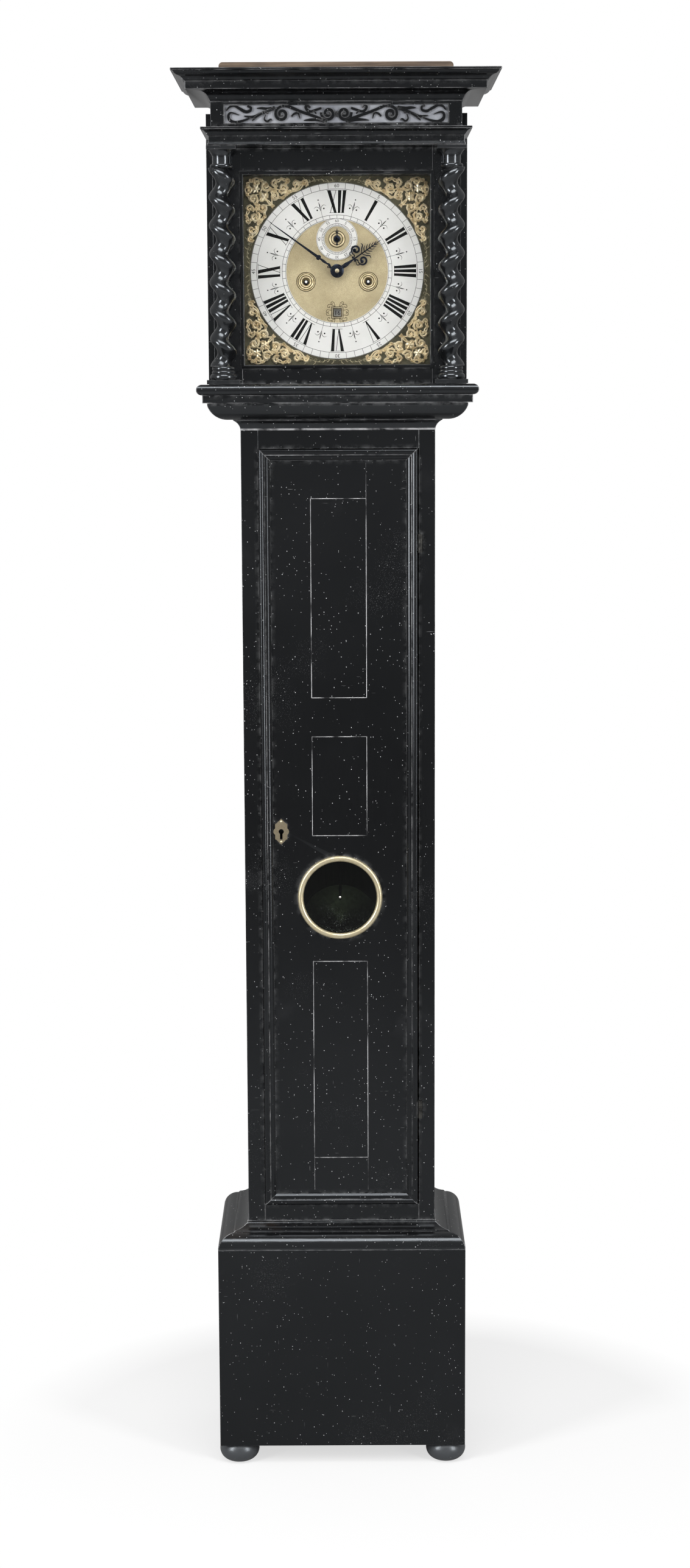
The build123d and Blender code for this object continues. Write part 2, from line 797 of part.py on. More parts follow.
glass_size = rebate_size - 2 * slide_gap
with BuildPart() as hood_door_glass:
    board(-glass_size / 2, glass_size / 2, glass_front, glass_front + hood_glass_thickness,
          dial_centre_z - glass_size / 2, dial_centre_z + glass_size / 2)
finish(hood_door_glass, "hood_door_glass")

# Twist columns: a round shaft whose centre winds about the column's axis, in mirrored hands
column_y = door_front - column_stand_off
torus_bottom = hood_door_bottom + column_plinth_height
astragal_bottom = torus_bottom + column_torus_height
neck_bottom = astragal_bottom + column_astragal_height
shaft_bottom = neck_bottom + column_neck_height
shaft_height = twist_pitch * twist_turns
shaft_top = shaft_bottom + shaft_height
abacus_bottom = hood_door_top - column_abacus_height
column_base_steps = [
    (0, torus_bottom),
    (column_torus, torus_bottom),
    (column_torus, astragal_bottom, -0.575),
    (column_astragal, astragal_bottom),
    (column_astragal, neck_bottom, -0.65),
    (column_neck, neck_bottom),
    (column_neck, shaft_bottom, -0.567),
    (0, shaft_bottom),
]
column_cap_steps = [
    (0, shaft_top),
    (column_collar, shaft_top),
    (column_collar, shaft_top + column_collar_height, -0.578),
    (column_throat, shaft_top + column_collar_height),
    (column_throat, abacus_bottom - column_flare_height),
    (column_flare, abacus_bottom, 1.227),
    (0, abacus_bottom),
]
with BuildPart() as right_twist_column:
    with BuildLine() as centre_line:
        Helix(twist_pitch, shaft_height, twist_offset, center=(0, 0, shaft_bottom))
    with BuildSketch(Plane.XY.offset(shaft_bottom)):
        with Locations((twist_offset, 0)):
            Circle(twist_radius)
    sweep(path=centre_line.line, normal=(0, 0, 1))
    for turned_steps in (column_base_steps, column_cap_steps):
        with BuildSketch(Plane.XZ):
            with BuildLine():
                outline(turned_steps)
            make_face()
        revolve(axis=Axis.Z)
    board(-column_plinth / 2, column_plinth / 2, -column_plinth / 2, column_plinth / 2,
          hood_door_bottom, hood_door_bottom + column_plinth_height)
    board(-column_abacus / 2, column_abacus / 2, -column_abacus / 2, column_abacus / 2,
          abacus_bottom, hood_door_top)
    split(bisect_by=Plane(origin=(0, column_stand_off, 0), z_dir=(0, 1, 0)), keep=Keep.BOTTOM)
right_twist_column.part = right_twist_column.part.moved(Location((column_x, column_y, 0)))
finish(right_twist_column, "right_twist_column")

with BuildPart() as left_twist_column:
    add(right_twist_column.part.mirror(Plane.YZ))
finish(left_twist_column, "left_twist_column")

# Architrave, planted on the frieze board and on the hood sides as far as the pilasters
fascia_step = (architrave_fascia_width - hood_width) / 2
architrave_step = (architrave_width - hood_width) / 2
bead_step = 1.2
architrave_bead = architrave_bottom + 2.0
architrave_face = architrave_bottom + 4.0
architrave_hollow = frieze_bottom - 12.0
architrave_steps = [
    (0, architrave_bottom),
    (fascia_step + bead_step, architrave_bottom),
    (fascia_step + bead_step, architrave_bead),
    (fascia_step, architrave_face),
    (fascia_step, architrave_hollow),
    (fascia_step + 2 * bead_step, architrave_hollow + fillet_width),
    (architrave_step, frieze_bottom - 2 * fillet_width, 1.155),
    (architrave_step, frieze_bottom - fillet_width / 2),
    (0, frieze_bottom),
]
with BuildPart() as hood_architrave:
    add(mitred(architrave_steps, hood_half, hood_front))
    split(bisect_by=Plane(origin=(0, pilaster_front - mitre_gap, 0), z_dir=(0, 1, 0)), keep=Keep.BOTTOM)
finish(hood_architrave, "hood_architrave")

# Frieze board with a window behind the fret, and the soffit over the door
fret_z = frieze_bottom + frieze_height / 2
recess = fret_thickness + silk_thickness
with BuildPart() as hood_frieze:
    board(-hood_half, hood_half, hood_front, frieze_back, architrave_bottom, cornice_bottom)
    with BuildSketch(front_plane(0, hood_front, fret_z)):
        Rectangle(fret_length + slide_gap, fret_height + slide_gap)
    extrude(amount=-recess, mode=Mode.SUBTRACT)
    with BuildSketch(front_plane(0, hood_front, fret_z)):
        Rectangle(fret_length - 2 * fret_lap, fret_height - 2 * fret_lap)
    extrude(amount=-hood_front_board, mode=Mode.SUBTRACT)
with BuildPart() as soffit:
    board(-hood_inner, hood_inner, frieze_back + mitre_gap, mask_front, architrave_bottom,
          architrave_bottom + side_board)
with BuildPart() as hood_frieze_boards:
    add(hood_frieze.part)
    add(soffit.part)
finish(hood_frieze_boards, "hood_frieze_boards")

with BuildPart() as fret_backing:
    board(-fret_length / 2, fret_length / 2, hood_front + fret_thickness, hood_front + recess,
          fret_z - fret_height / 2, fret_z + fret_height / 2)
finish(fret_backing, "fret_backing")

# Fret: pierced scrolls, mirrored about the middle
scroll_count = 5
scroll_radius = 11.4
scroll_width = 2.8
scroll_pitch = 27.5
fret_rim = 1.2
leaf_radius = 4.6
leaf_eye = 2.2
leaf_rise = 6.2
stem_tilt = 24
stem_length = fret_height - 1.0
with BuildPart() as frieze_fret:
    with BuildSketch(front_plane(0, hood_front + fret_thickness, fret_z)):
        Rectangle(fret_length, fret_height)
        Rectangle(fret_length - 2 * fret_rim, fret_height - 2 * fret_rim, mode=Mode.SUBTRACT)
        for place in range(scroll_count):
            scroll_x = (place + 0.5) * scroll_pitch
            rise = 1 if place % 2 else -1
            for side in (-1, 1):
                with Locations((side * scroll_x, 0)):
                    Circle(scroll_radius)
                    Circle(scroll_radius - scroll_width, mode=Mode.SUBTRACT)
                with Locations((side * scroll_x, rise * leaf_rise)):
                    Circle(leaf_radius)
                    Circle(leaf_eye, mode=Mode.SUBTRACT)
                with Locations((side * (scroll_x + scroll_pitch / 2), 0)):
                    Rectangle(scroll_width, stem_length, rotation=side * rise * stem_tilt)
        Rectangle(scroll_width, stem_length)
    extrude(amount=fret_thickness)
finish(frieze_fret, "frieze_fret")

# Cornice: a hollow, a soffit, a fascia and a cyma up to the top edge
cornice_inner = -20.0
cornice_bead = 1.5
cove_out = 13.1
soffit_z = cornice_bottom + 13.0
fascia_top = soffit_z + 10.0
cyma_bottom = fascia_top + 1.5
cyma_middle = cyma_bottom + 5.0
cyma_top = cornice_top - 3.5
fascia_out = (cornice_fascia_width - hood_width) / 2
cornice_out = (cornice_width - hood_width) / 2
cyma_step = (cornice_out - fascia_out) / 6
cornice_steps = [
    (cornice_inner, cornice_bottom),
    (cornice_bead, cornice_bottom),
    (cornice_bead, cornice_bottom + fillet_width),
    (cove_out, soffit_z, 1.0),
    (fascia_out, soffit_z),
    (fascia_out, fascia_top),
    (fascia_out + cyma_step, cyma_bottom),
    (fascia_out + 3 * cyma_step, cyma_middle, 1.152),
    (cornice_out - fillet_width, cyma_top, -1.291),
    (cornice_out, cyma_top + 0.5),
    (cornice_out, cornice_top),
    (cornice_inner, cornice_top),
]
with BuildPart() as hood_cornice:
    add(mitred(cornice_steps, hood_half, hood_front))
finish(hood_cornice, "hood_cornice")

with BuildPart() as hood_dust_board:
    board(-dust_board_width / 2, dust_board_width / 2, -back_y + dust_board_setback, back_y,
          cornice_top, cornice_top + dust_board_height)
    fillet(hood_dust_board.edges().filter_by(Axis.Y).group_by(Axis.Z)[-1], dust_board_round)
finish(hood_dust_board, "hood_dust_board")

# Dial plate with its feet, and holes for the arbors and the date
with BuildPart() as dial_plate:
    with BuildSketch(front_plane(0, dial_back, dial_centre_z)):
        Rectangle(dial_size, dial_size)
        Circle(hour_pipe + arbor_play, mode=Mode.SUBTRACT)
        with Locations((-winding_x, -winding_drop), (winding_x, -winding_drop)):
            Circle(winding_hole_radius, mode=Mode.SUBTRACT)
        with Locations((0, seconds_rise)):
            Circle(train_arbor + arbor_play, mode=Mode.SUBTRACT)
        with Locations((0, -date_drop)):
            Rectangle(date_window, date_window, mode=Mode.SUBTRACT)
    extrude(amount=dial_thickness)
    with BuildSketch(front_plane(0, plate_front, dial_centre_z)):
        with GridLocations(2 * dial_foot_place, 2 * dial_foot_place, 2, 2):
            Circle(dial_foot_radius)
    extrude(amount=plate_front - dial_back)
finish(dial_plate, "dial_plate")

with BuildPart() as dial_rings:
    with BuildSketch(front_plane(0, dial_front, dial_centre_z)):
        Circle(chapter_outer / 2)
        Circle(chapter_inner / 2, mode=Mode.SUBTRACT)
        with Locations((0, seconds_rise)):
            Circle(seconds_outer / 2 + ring_joint, mode=Mode.SUBTRACT)
            Circle(seconds_outer / 2)
            Circle(seconds_inner / 2, mode=Mode.SUBTRACT)
    extrude(amount=ring_thickness)
finish(dial_rings, "dial_rings")

# Corner spandrels: a pierced leaf shape in each corner outside the chapter ring
spandrel_inset = 3.0
spandrel_clear = 2.0
corner = dial_size / 2 - spandrel_inset
leg = corner - spandrel_reach
with BuildPart() as dial_spandrels:
    with BuildSketch(front_plane(0, dial_front, dial_centre_z)):
        for across in (-1, 1):
            for up in (-1, 1):
                with BuildLine():
                    Polyline(
                        (across * corner, up * corner), (across * leg, up * corner),
                        (across * corner, up * leg), close=True,
                    )
                make_face()
        Circle(chapter_outer / 2 + spandrel_clear, mode=Mode.SUBTRACT)
        for across in (-1, 1):
            for up in (-1, 1):
                holes = [(0.9, 0.9, 5.0), (0.72, 0.93, 3.4), (0.93, 0.72, 3.4), (0.8, 0.8, 3.0)]
                for share_x, share_y, hole_radius in holes:
                    with Locations((across * share_x * corner, up * share_y * corner)):
                        Circle(hole_radius, mode=Mode.SUBTRACT)
    extrude(amount=spandrel_thickness)
finish(dial_spandrels, "dial_spandrels")

# Date ring behind the dial
date_ring_back = dial_back + 3.0
with BuildPart() as date_ring:
    with BuildSketch(front_plane(0, date_ring_back, dial_centre_z)):
        Circle(date_ring_outer)
        Circle(date_ring_inner, mode=Mode.SUBTRACT)
    extrude(amount=1.5)
finish(date_ring, "date_ring")

# Movement plates, bored for every arbor
hammer_arbor = 1.5
anchor_arbor = 1.5
bores = [
    (-winding_x, barrel_z, barrel_arbor),
    (winding_x, barrel_z, barrel_arbor),
    (0, dial_centre_z, centre_arbor),
    (third_x, third_z, train_arbor),
    (0, escape_z, train_arbor),
    (pin_wheel_x, pin_wheel_z, train_arbor),
    (0, anchor_z, anchor_arbor),
    (hammer_x, hammer_z, hammer_arbor),
]
plate_middle = (plate_bottom + plate_top) / 2
with BuildPart() as movement_plates:
    for plate_y in (space_front, plate_back):
        with BuildSketch(front_plane(0, plate_y, plate_middle)):
            Rectangle(plate_width, plate_height)
            for bore_x, bore_z, bore_radius in bores:
                with Locations((bore_x, bore_z - plate_middle)):
                    Circle(bore_radius + running_gap, mode=Mode.SUBTRACT)
        extrude(amount=plate_thickness)
finish(movement_plates, "movement_plates")

pillar_x = plate_width / 2 - pillar_inset
pillar_places = [
    (-pillar_x, plate_bottom + pillar_inset), (pillar_x, plate_bottom + pillar_inset),
    (-pillar_x, plate_top - pillar_inset), (pillar_x, plate_top - pillar_inset),
    (0, plate_bottom + pillar_inset),
]
with BuildPart() as movement_pillars:
    for place_x, place_z in pillar_places:
        rod(place_x, place_z, space_front, space_back, 0.62 * pillar_radius)
        for ring_y in (space_front, barrel_y - pillar_ring / 2, space_back - pillar_ring):
            rod(place_x, place_z, ring_y, ring_y + pillar_ring, pillar_radius)
finish(movement_pillars, "movement_pillars")

# Barrels: drum, flanges, arbor and winding square
wheel_gap = 1.0
great_wheel_y = barrel_y + drum_length / 2 + wheel_gap
strike_wheel_y = barrel_y - drum_length / 2 - wheel_gap - wheel_thickness
square_back = plate_front - 2.0
square_front = dial_front + 0.5


def barrel(label, x):
    """Barrel that winds up its gut line, with the square that the key turns."""
    with BuildPart() as piece:
        rod(x, barrel_z, barrel_y - drum_length / 2, barrel_y + drum_length / 2, drum_radius)
        for end_y in (barrel_y - drum_length / 2, barrel_y + drum_length / 2 - flange_thickness):
            rod(x, barrel_z, end_y, end_y + flange_thickness, flange_radius)
        rod(x, barrel_z, square_back, plate_back, barrel_arbor)
        with BuildSketch(front_plane(x, square_back, barrel_z)):
            Rectangle(winding_square, winding_square)
        extrude(amount=square_back - square_front)
    finish(piece, label)


barrel("going_barrel", winding_x)
barrel("strike_barrel", -winding_x)

# Going train from the great wheel to the escape wheel
great_r, centre_pinion_r, great_add, great_ded = mesh(great_distance, great_teeth, pinion_leaves)
centre_r, third_pinion_r, centre_add, centre_ded = mesh(
    third_from_centre, centre_teeth, pinion_leaves)
third_r, escape_pinion_r, third_add, third_ded = mesh(
    third_from_escape, third_teeth, escape_leaves)
to_centre = bearing(winding_x, barrel_z, 0, dial_centre_z)
to_third = bearing(0, dial_centre_z, third_x, third_z)
to_escape = bearing(third_x, third_z, 0, escape_z)
centre_wheel_y = great_wheel_y + wheel_thickness + 1.5 * wheel_gap
third_wheel_y = space_front + 13.0
escape_wheel_y = barrel_y + 9.0
pinion_lead = 1.5
half_turn = 180
great_bore = barrel_arbor + running_gap

with BuildPart() as going_great_wheel:
    wheel(winding_x, barrel_z, great_wheel_y, great_teeth, great_r, great_add, great_ded,
          to_centre, great_bore)
finish(going_great_wheel, "going_great_wheel")

with BuildPart() as centre_wheel:
    rod(0, dial_centre_z, ring_front - hand_stand_off, plate_back, centre_arbor)
    pinion(0, dial_centre_z, great_wheel_y - pinion_lead, pinion_leaves, centre_pinion_r, great_add,
           great_ded, to_centre + half_turn + half_turn / pinion_leaves)
    wheel(0, dial_centre_z, centre_wheel_y, centre_teeth, centre_r, centre_add, centre_ded,
          to_third, 0)
finish(centre_wheel, "centre_wheel")

with BuildPart() as third_wheel:
    rod(third_x, third_z, plate_front, plate_back, train_arbor)
    pinion(third_x, third_z, centre_wheel_y - pinion_lead, pinion_leaves, third_pinion_r, centre_add,
           centre_ded, to_third + half_turn + half_turn / pinion_leaves)
    wheel(third_x, third_z, third_wheel_y, third_teeth, third_r, third_add, third_ded,
          to_escape, 0)
finish(third_wheel, "third_wheel")

seconds_hand_y = ring_front - 1.0
with BuildPart() as escape_wheel:
    rod(0, escape_z, seconds_hand_y - hand_thickness, plate_back, train_arbor)
    pinion(0, escape_z, third_wheel_y - pinion_lead, escape_leaves, escape_pinion_r, third_add,
           third_ded, to_escape + half_turn + half_turn / escape_leaves)
    with BuildSketch(front_plane(0, escape_wheel_y + escape_thickness, escape_z)):
        with BuildLine():
            tooth_points = []
            for tooth in range(escape_teeth):
                tooth_turn = radians(tooth * 360 / escape_teeth)
                back_turn = radians((tooth + 0.45) * 360 / escape_teeth)
                tooth_points.append((escape_radius * sin(tooth_turn), escape_radius * cos(tooth_turn)))
                tooth_points.append(
                    (0.82 * escape_radius * sin(back_turn), 0.82 * escape_radius * cos(back_turn)))
            Polyline(*tooth_points, close=True)
        make_face()
        Circle(0.68 * escape_radius, mode=Mode.SUBTRACT)
        Circle(escape_hub)
        for arm in (0, 90):
            Rectangle(1.5 * escape_radius, escape_arm, rotation=arm)
    extrude(amount=escape_thickness)
finish(escape_wheel, "escape_wheel")

# Anchor, with the crutch that swings with the pendulum behind the back plate
pallet_x = 0.66 * escape_radius
pallet_z = escape_z + 0.86 * escape_radius
crutch_y = plate_back + 8.0
pallet_drop = pallet_z - anchor_z + 1.0
prong = rod_radius + slide_gap
prong_thickness = 1.6
crutch_drop = 80.0
crutch_thickness = 3.0
fork_width = 4.0
pallet_thickness = 4.0
pallet_nib = 4.5
with BuildPart() as anchor_crutch:
    rod(0, anchor_z, space_front - plate_thickness, crutch_y + crutch_thickness, anchor_arbor)
    with BuildSketch(front_plane(0, escape_wheel_y + pallet_thickness - 1.0, anchor_z)):
        with BuildLine():
            Polyline(
                (-pallet_x - pallet_nib, pallet_drop), (0, 6.0),
                (pallet_x + pallet_nib, pallet_drop),
                (pallet_x + pallet_nib - 2.0, pallet_drop + 0.5), (0, 1.0),
                (-pallet_x - pallet_nib + 2.0, pallet_drop + 0.5), close=True,
            )
        make_face()
        Circle(pallet_thickness)
    extrude(amount=pallet_thickness)
    with BuildSketch(front_plane(0, crutch_y + crutch_thickness, anchor_z)):
        Circle(fork_width)
        with Locations((0, -crutch_drop / 2)):
            Rectangle(crutch_thickness, crutch_drop)
        with Locations((0, -crutch_drop)):
            Rectangle(2 * (prong + prong_thickness), fork_width)
    extrude(amount=crutch_thickness)
    with BuildSketch(front_plane(0, pendulum_y + rod_radius, anchor_z - crutch_drop)):
        for side in (-1, 1):
            with Locations((side * (prong + prong_thickness / 2), 0)):
                Rectangle(prong_thickness, fork_width)
    extrude(amount=pendulum_y + rod_radius - crutch_y - crutch_thickness / 2)
finish(anchor_crutch, "anchor_crutch")

# Cock that clamps the head of the suspension spring: the pendulum swings about its lower face
with BuildPart() as suspension_cock:
    board(-cock_width / 2, cock_width / 2, plate_back, pendulum_y + spring_width,
          cock_bottom, cock_bottom + cock_height)
finish(suspension_cock, "suspension_cock")

# Pendulum rod with its suspension spring, and the nut that sets the bob's height
nut_thickness = 7.0
nut_radius = 9.0
nut_z = bob_z - bob_radius - nut_thickness
rod_top = anchor_z - 14.0
with BuildPart() as steel_rod:
    with BuildSketch(Plane.XY.offset(nut_z - 14.0)):
        with Locations((0, pendulum_y)):
            Circle(rod_radius)
    extrude(amount=rod_top - nut_z + 14.0)
    board(-3.0, 3.0, pendulum_y - 4.5, pendulum_y + 4.5, rod_top - 1.0, rod_top + 9.0)
    board(-spring_half, spring_half, pendulum_y - spring_width / 2,
          pendulum_y + spring_width / 2, rod_top + 8.0, cock_bottom - running_gap)
with BuildPart() as rating_nut:
    with BuildSketch(Plane.XY.offset(nut_z)):
        with Locations((0, pendulum_y)):
            Circle(nut_radius)
            Circle(rod_radius + running_gap, mode=Mode.SUBTRACT)
    extrude(amount=nut_thickness)
with BuildPart() as pendulum_rod:
    add(steel_rod.part)
    add(rating_nut.part)
finish(pendulum_rod, "pendulum_rod")

with BuildPart() as pendulum_bob:
    with BuildSketch(Plane.XY.offset(bob_z)):
        with BuildLine():
            bob_front = (0, pendulum_y - bob_thickness / 2)
            bob_back = (0, pendulum_y + bob_thickness / 2)
            bob_edge_front = (bob_radius, pendulum_y - 1.0)
            bob_edge_back = (bob_radius, pendulum_y + 1.0)
            RadiusArc(bob_front, bob_edge_front, 2.3 * bob_radius)
            Line(bob_edge_front, bob_edge_back)
            RadiusArc(bob_edge_back, bob_back, 2.3 * bob_radius)
            Line(bob_back, bob_front)
        make_face()
    revolve(axis=Axis((0, 0, bob_z), (0, 1, 0)))
    with BuildSketch(Plane.XY.offset(bob_z - bob_radius - 1)):
        with Locations((0, pendulum_y)):
            Circle(rod_radius + running_gap)
    extrude(amount=2 * bob_radius + 2, mode=Mode.SUBTRACT)
finish(pendulum_bob, "pendulum_bob")

# Hands
hour_hand_back = ring_front - hour_hand_lift
minute_hand_back = hour_hand_back - hand_thickness - minute_hand_lift


def pointer(width, tip_width, start, length):
    """Draw the tapering blade of a hand, pointing up."""
    with BuildLine() as blade:
        Polyline(
            (-width / 2, start), (-tip_width / 2, length), (tip_width / 2, length),
            (width / 2, start), close=True,
        )
    make_face(blade.edges())


with BuildPart() as hour_hand:
    with BuildSketch(hand_plane(hour_hand_back, hour_angle)):
        Circle(8.0)
        pointer(5.0, 2.4, 5.0, hour_length - 12.0)
        pointer(12.0, 0.8, hour_length - 26.0, hour_length)
        with Locations((-6.5, 20.0), (6.5, 20.0), (-5.0, 34.0), (5.0, 34.0)):
            Circle(5.6)
        with Locations((-6.5, 20.0), (6.5, 20.0), (-5.0, 34.0), (5.0, 34.0)):
            Circle(3.0, mode=Mode.SUBTRACT)
        pointer(3.0, 2.4, 5.0, hour_length - 12.0)
        Circle(hour_pipe + running_gap, mode=Mode.SUBTRACT)
    extrude(amount=hand_thickness)
finish(hour_hand, "hour_hand")

with BuildPart() as minute_hand:
    with BuildSketch(hand_plane(minute_hand_back, minute_angle)):
        Circle(7.0)
        pointer(4.2, 1.0, 4.0, minute_length)
        with Locations((-3.8, 15.0), (3.8, 15.0)):
            Circle(4.2)
        with Locations((-3.8, 15.0), (3.8, 15.0)):
            Circle(2.2, mode=Mode.SUBTRACT)
        with Locations((0, 27.0)):
            Circle(4.0)
        Circle(centre_arbor + running_gap, mode=Mode.SUBTRACT)
    extrude(amount=hand_thickness)
finish(minute_hand, "minute_hand")

with BuildPart() as seconds_hand:
    with BuildSketch(front_plane(0, seconds_hand_y, escape_z)):
        Circle(4.4)
        pointer(2.2, 0.7, 3.0, seconds_length)
        with Locations((0, -6.0)):
            Rectangle(2.2, 5.0)
        Circle(train_arbor + running_gap, mode=Mode.SUBTRACT)
    extrude(amount=hand_thickness)
finish(seconds_hand, "seconds_hand")

# Hour wheel on its pipe, which carries the hour hand through the dial
with BuildPart() as hour_wheel:
    wheel(0, dial_centre_z, plate_front - 5.0, 72, 22.0, 0.4, 0.6, 0, centre_arbor + 0.5)
    with BuildSketch(front_plane(0, plate_front - 3.0, dial_centre_z)):
        Circle(hour_pipe)
        Circle(centre_arbor + 0.1, mode=Mode.SUBTRACT)
    extrude(amount=plate_front - 3.0 - (hour_hand_back - hand_thickness))
finish(hour_wheel, "hour_wheel")

# Strike train: great wheel and pin wheel, and the hammer and bell
strike_r, pin_pinion_r, strike_add, strike_ded = mesh(
    great_distance, strike_teeth, pinion_leaves)
to_pin_wheel = bearing(-winding_x, barrel_z, pin_wheel_x, pin_wheel_z)
with BuildPart() as strike_great_wheel:
    wheel(-winding_x, barrel_z, strike_wheel_y, strike_teeth, strike_r, strike_add, strike_ded,
          to_pin_wheel, great_bore)
finish(strike_great_wheel, "strike_great_wheel")

pin_circle = pin_wheel_radius - 3.5
with BuildPart() as pin_wheel:
    rod(pin_wheel_x, pin_wheel_z, plate_front, plate_back, train_arbor)
    pinion(pin_wheel_x, pin_wheel_z, strike_wheel_y - pinion_lead, pinion_leaves, pin_pinion_r,
           strike_add, strike_ded, to_pin_wheel + half_turn + half_turn / pinion_leaves)
    wheel(pin_wheel_x, pin_wheel_z, centre_wheel_y, 56, pin_wheel_radius, 0.35, 0.5, 0, 0)
    with BuildSketch(front_plane(pin_wheel_x, centre_wheel_y + 6.0, pin_wheel_z)):
        with PolarLocations(pin_circle + 1.4, lifting_pins):
            Circle(0.8)
    extrude(amount=5.0)
finish(pin_wheel, "pin_wheel")

hammer_y = barrel_y
hammer_head_z = bell_rim_z + 8.0
with BuildPart() as hammer:
    rod(hammer_x, hammer_z, space_front - plate_thickness, plate_back, hammer_arbor)
    board(hammer_x - 1.5, hammer_x + 1.5, hammer_y - 2.0, hammer_y + 2.0, hammer_z,
          hammer_head_z + 4.0)
    with BuildSketch(Plane(origin=(hammer_x - 5.0, hammer_y, hammer_head_z), z_dir=(1, 0, 0))):
        Circle(6.0)
    extrude(amount=24.0)
    with BuildSketch(front_plane(hammer_x, centre_wheel_y + 5.5, hammer_z)):
        Circle(3.0)
        with BuildLine():
            tail_x = 0.62 * (pin_wheel_x - hammer_x)
            tail_z = 0.55 * (pin_wheel_z - hammer_z)
            Polyline((-1.5, -1.5), (tail_x, tail_z - 1.5), (tail_x + 1.0, tail_z + 1.5),
                     (1.5, 1.5), close=True)
        make_face()
    extrude(amount=2.5)
finish(hammer, "hammer")

# Bell on its post, which stands on a bar between the plates
bell_x = hammer_x + 19.0 + 2.0 + bell_radius
bell_height = 0.86 * bell_radius
with BuildPart() as bell_cup:
    with BuildSketch(Plane.XZ):
        with BuildLine():
            Line((0, 0), (bell_radius, 0))
            RadiusArc((bell_radius, 0), (0, bell_height), -bell_radius)
            Line((0, bell_height), (0, 0))
        make_face()
        with BuildLine():
            Line((0, -1), (bell_radius - bell_wall, -1))
            Line((bell_radius - bell_wall, -1), (bell_radius - bell_wall, 0))
            RadiusArc((bell_radius - bell_wall, 0), (0, bell_height - bell_wall),
                      bell_wall - bell_radius)
            Line((0, bell_height - bell_wall), (0, -1))
        make_face(mode=Mode.SUBTRACT)
    revolve(axis=Axis.Z)
with BuildPart() as bell:
    add(bell_cup.part.moved(Location((bell_x, barrel_y, bell_rim_z))))
    rod(bell_x, plate_top - pillar_inset, space_front, space_back, 4.0)
    with Locations((bell_x, barrel_y, (plate_top - pillar_inset + bell_rim_z + bell_height) / 2)):
        Cylinder(2.5, bell_rim_z + bell_height + 5.0 - plate_top + pillar_inset)
    with Locations((bell_x, barrel_y, bell_rim_z + bell_height + 1.0)):
        Cylinder(5.0, 4.0)
finish(bell, "bell")

# Driving weights on their pulleys, and the gut lines that carry them
pulley_flange = 26.5
weight_top = pulley_z - pulley_flange - 14.0


def weight(label, x):
    """Brass-cased weight, with its stirrup and pulley."""
    with BuildPart() as case_and_hook:
        with BuildSketch(Plane.XY.offset(weight_top - weight_length)):
            with Locations((x, barrel_y)):
                Circle(weight_radius)
        extrude(amount=weight_length)
        fillet(case_and_hook.edges(), 2.0)
        board(x - 3.0, x + 3.0, barrel_y - 7.0, barrel_y + 7.0, weight_top, weight_top + 8.0)
        for side in (-1, 1):
            board(x - 3.0, x + 3.0, barrel_y + side * 6.0 - 1.0, barrel_y + side * 6.0 + 1.0,
                  weight_top + 6.0, pulley_z + 6.0)
        rod(x, pulley_z, barrel_y - 7.0, barrel_y + 7.0, 1.5)
    with BuildPart() as pulley:
        rod(x, pulley_z, barrel_y - 3.5, barrel_y + 3.5, pulley_radius)
        for flange_y in (barrel_y - 3.5, barrel_y + 2.0):
            rod(x, pulley_z, flange_y, flange_y + 1.5, pulley_flange)
        with BuildSketch(front_plane(x, barrel_y + 4.0, pulley_z)):
            Circle(1.5 + running_gap)
        extrude(amount=8.0, mode=Mode.SUBTRACT)
    with BuildPart() as piece:
        add(case_and_hook.part)
        add(pulley.part)
    finish(piece, label)


weight("going_weight", winding_x)
weight("strike_weight", -winding_x)


def gut_line(label, x, outer):
    """Gut line from the barrel, round the pulley and up to the seat board."""
    with BuildPart() as piece:
        with BuildLine(Plane(origin=(x, barrel_y, 0), x_dir=(outer, 0, 0), z_dir=(0, -outer, 0))) as path:
            down = Line((fall_x, barrel_z), (fall_x, pulley_z))
            under = ThreePointArc((fall_x, pulley_z), (0, pulley_z - fall_x), (-fall_x, pulley_z))
            up = Line((-fall_x, pulley_z), (-fall_x, seat_top))
        with BuildSketch(Plane(origin=(x + outer * fall_x, barrel_y, barrel_z), z_dir=(0, 0, -1))):
            Circle(line_radius)
        sweep(path=path.line)
    finish(piece, label)


gut_line("going_line", winding_x, 1)
gut_line("strike_line", -winding_x, -1)
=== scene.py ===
"""Looks of the longcase clock on its frame: finishes, rubbed places, painted highlights, sheen and
shade, engraving, fret, spandrels, hands.
"""
import json
from math import atan2, cos, hypot, pi, radians, sin, sqrt
from random import Random

import bmesh
import bpy
from mathutils import Matrix, Vector


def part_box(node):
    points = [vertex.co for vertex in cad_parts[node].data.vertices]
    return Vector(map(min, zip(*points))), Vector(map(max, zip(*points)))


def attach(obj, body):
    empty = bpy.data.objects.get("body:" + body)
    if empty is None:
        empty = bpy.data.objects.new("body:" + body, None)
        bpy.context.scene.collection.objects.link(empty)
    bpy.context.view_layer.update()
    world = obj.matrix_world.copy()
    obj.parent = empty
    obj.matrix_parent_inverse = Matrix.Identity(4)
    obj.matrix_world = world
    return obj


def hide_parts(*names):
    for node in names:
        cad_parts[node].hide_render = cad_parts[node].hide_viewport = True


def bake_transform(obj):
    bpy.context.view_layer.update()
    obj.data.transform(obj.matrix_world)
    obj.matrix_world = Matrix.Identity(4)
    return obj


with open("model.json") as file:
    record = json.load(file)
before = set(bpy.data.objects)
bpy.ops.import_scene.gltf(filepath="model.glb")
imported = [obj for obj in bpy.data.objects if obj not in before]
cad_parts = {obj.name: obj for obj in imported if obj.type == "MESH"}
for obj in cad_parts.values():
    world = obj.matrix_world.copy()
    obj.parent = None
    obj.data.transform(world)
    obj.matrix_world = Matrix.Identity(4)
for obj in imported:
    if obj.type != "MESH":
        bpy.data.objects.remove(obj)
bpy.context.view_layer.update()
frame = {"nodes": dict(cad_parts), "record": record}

nodes = frame["nodes"]
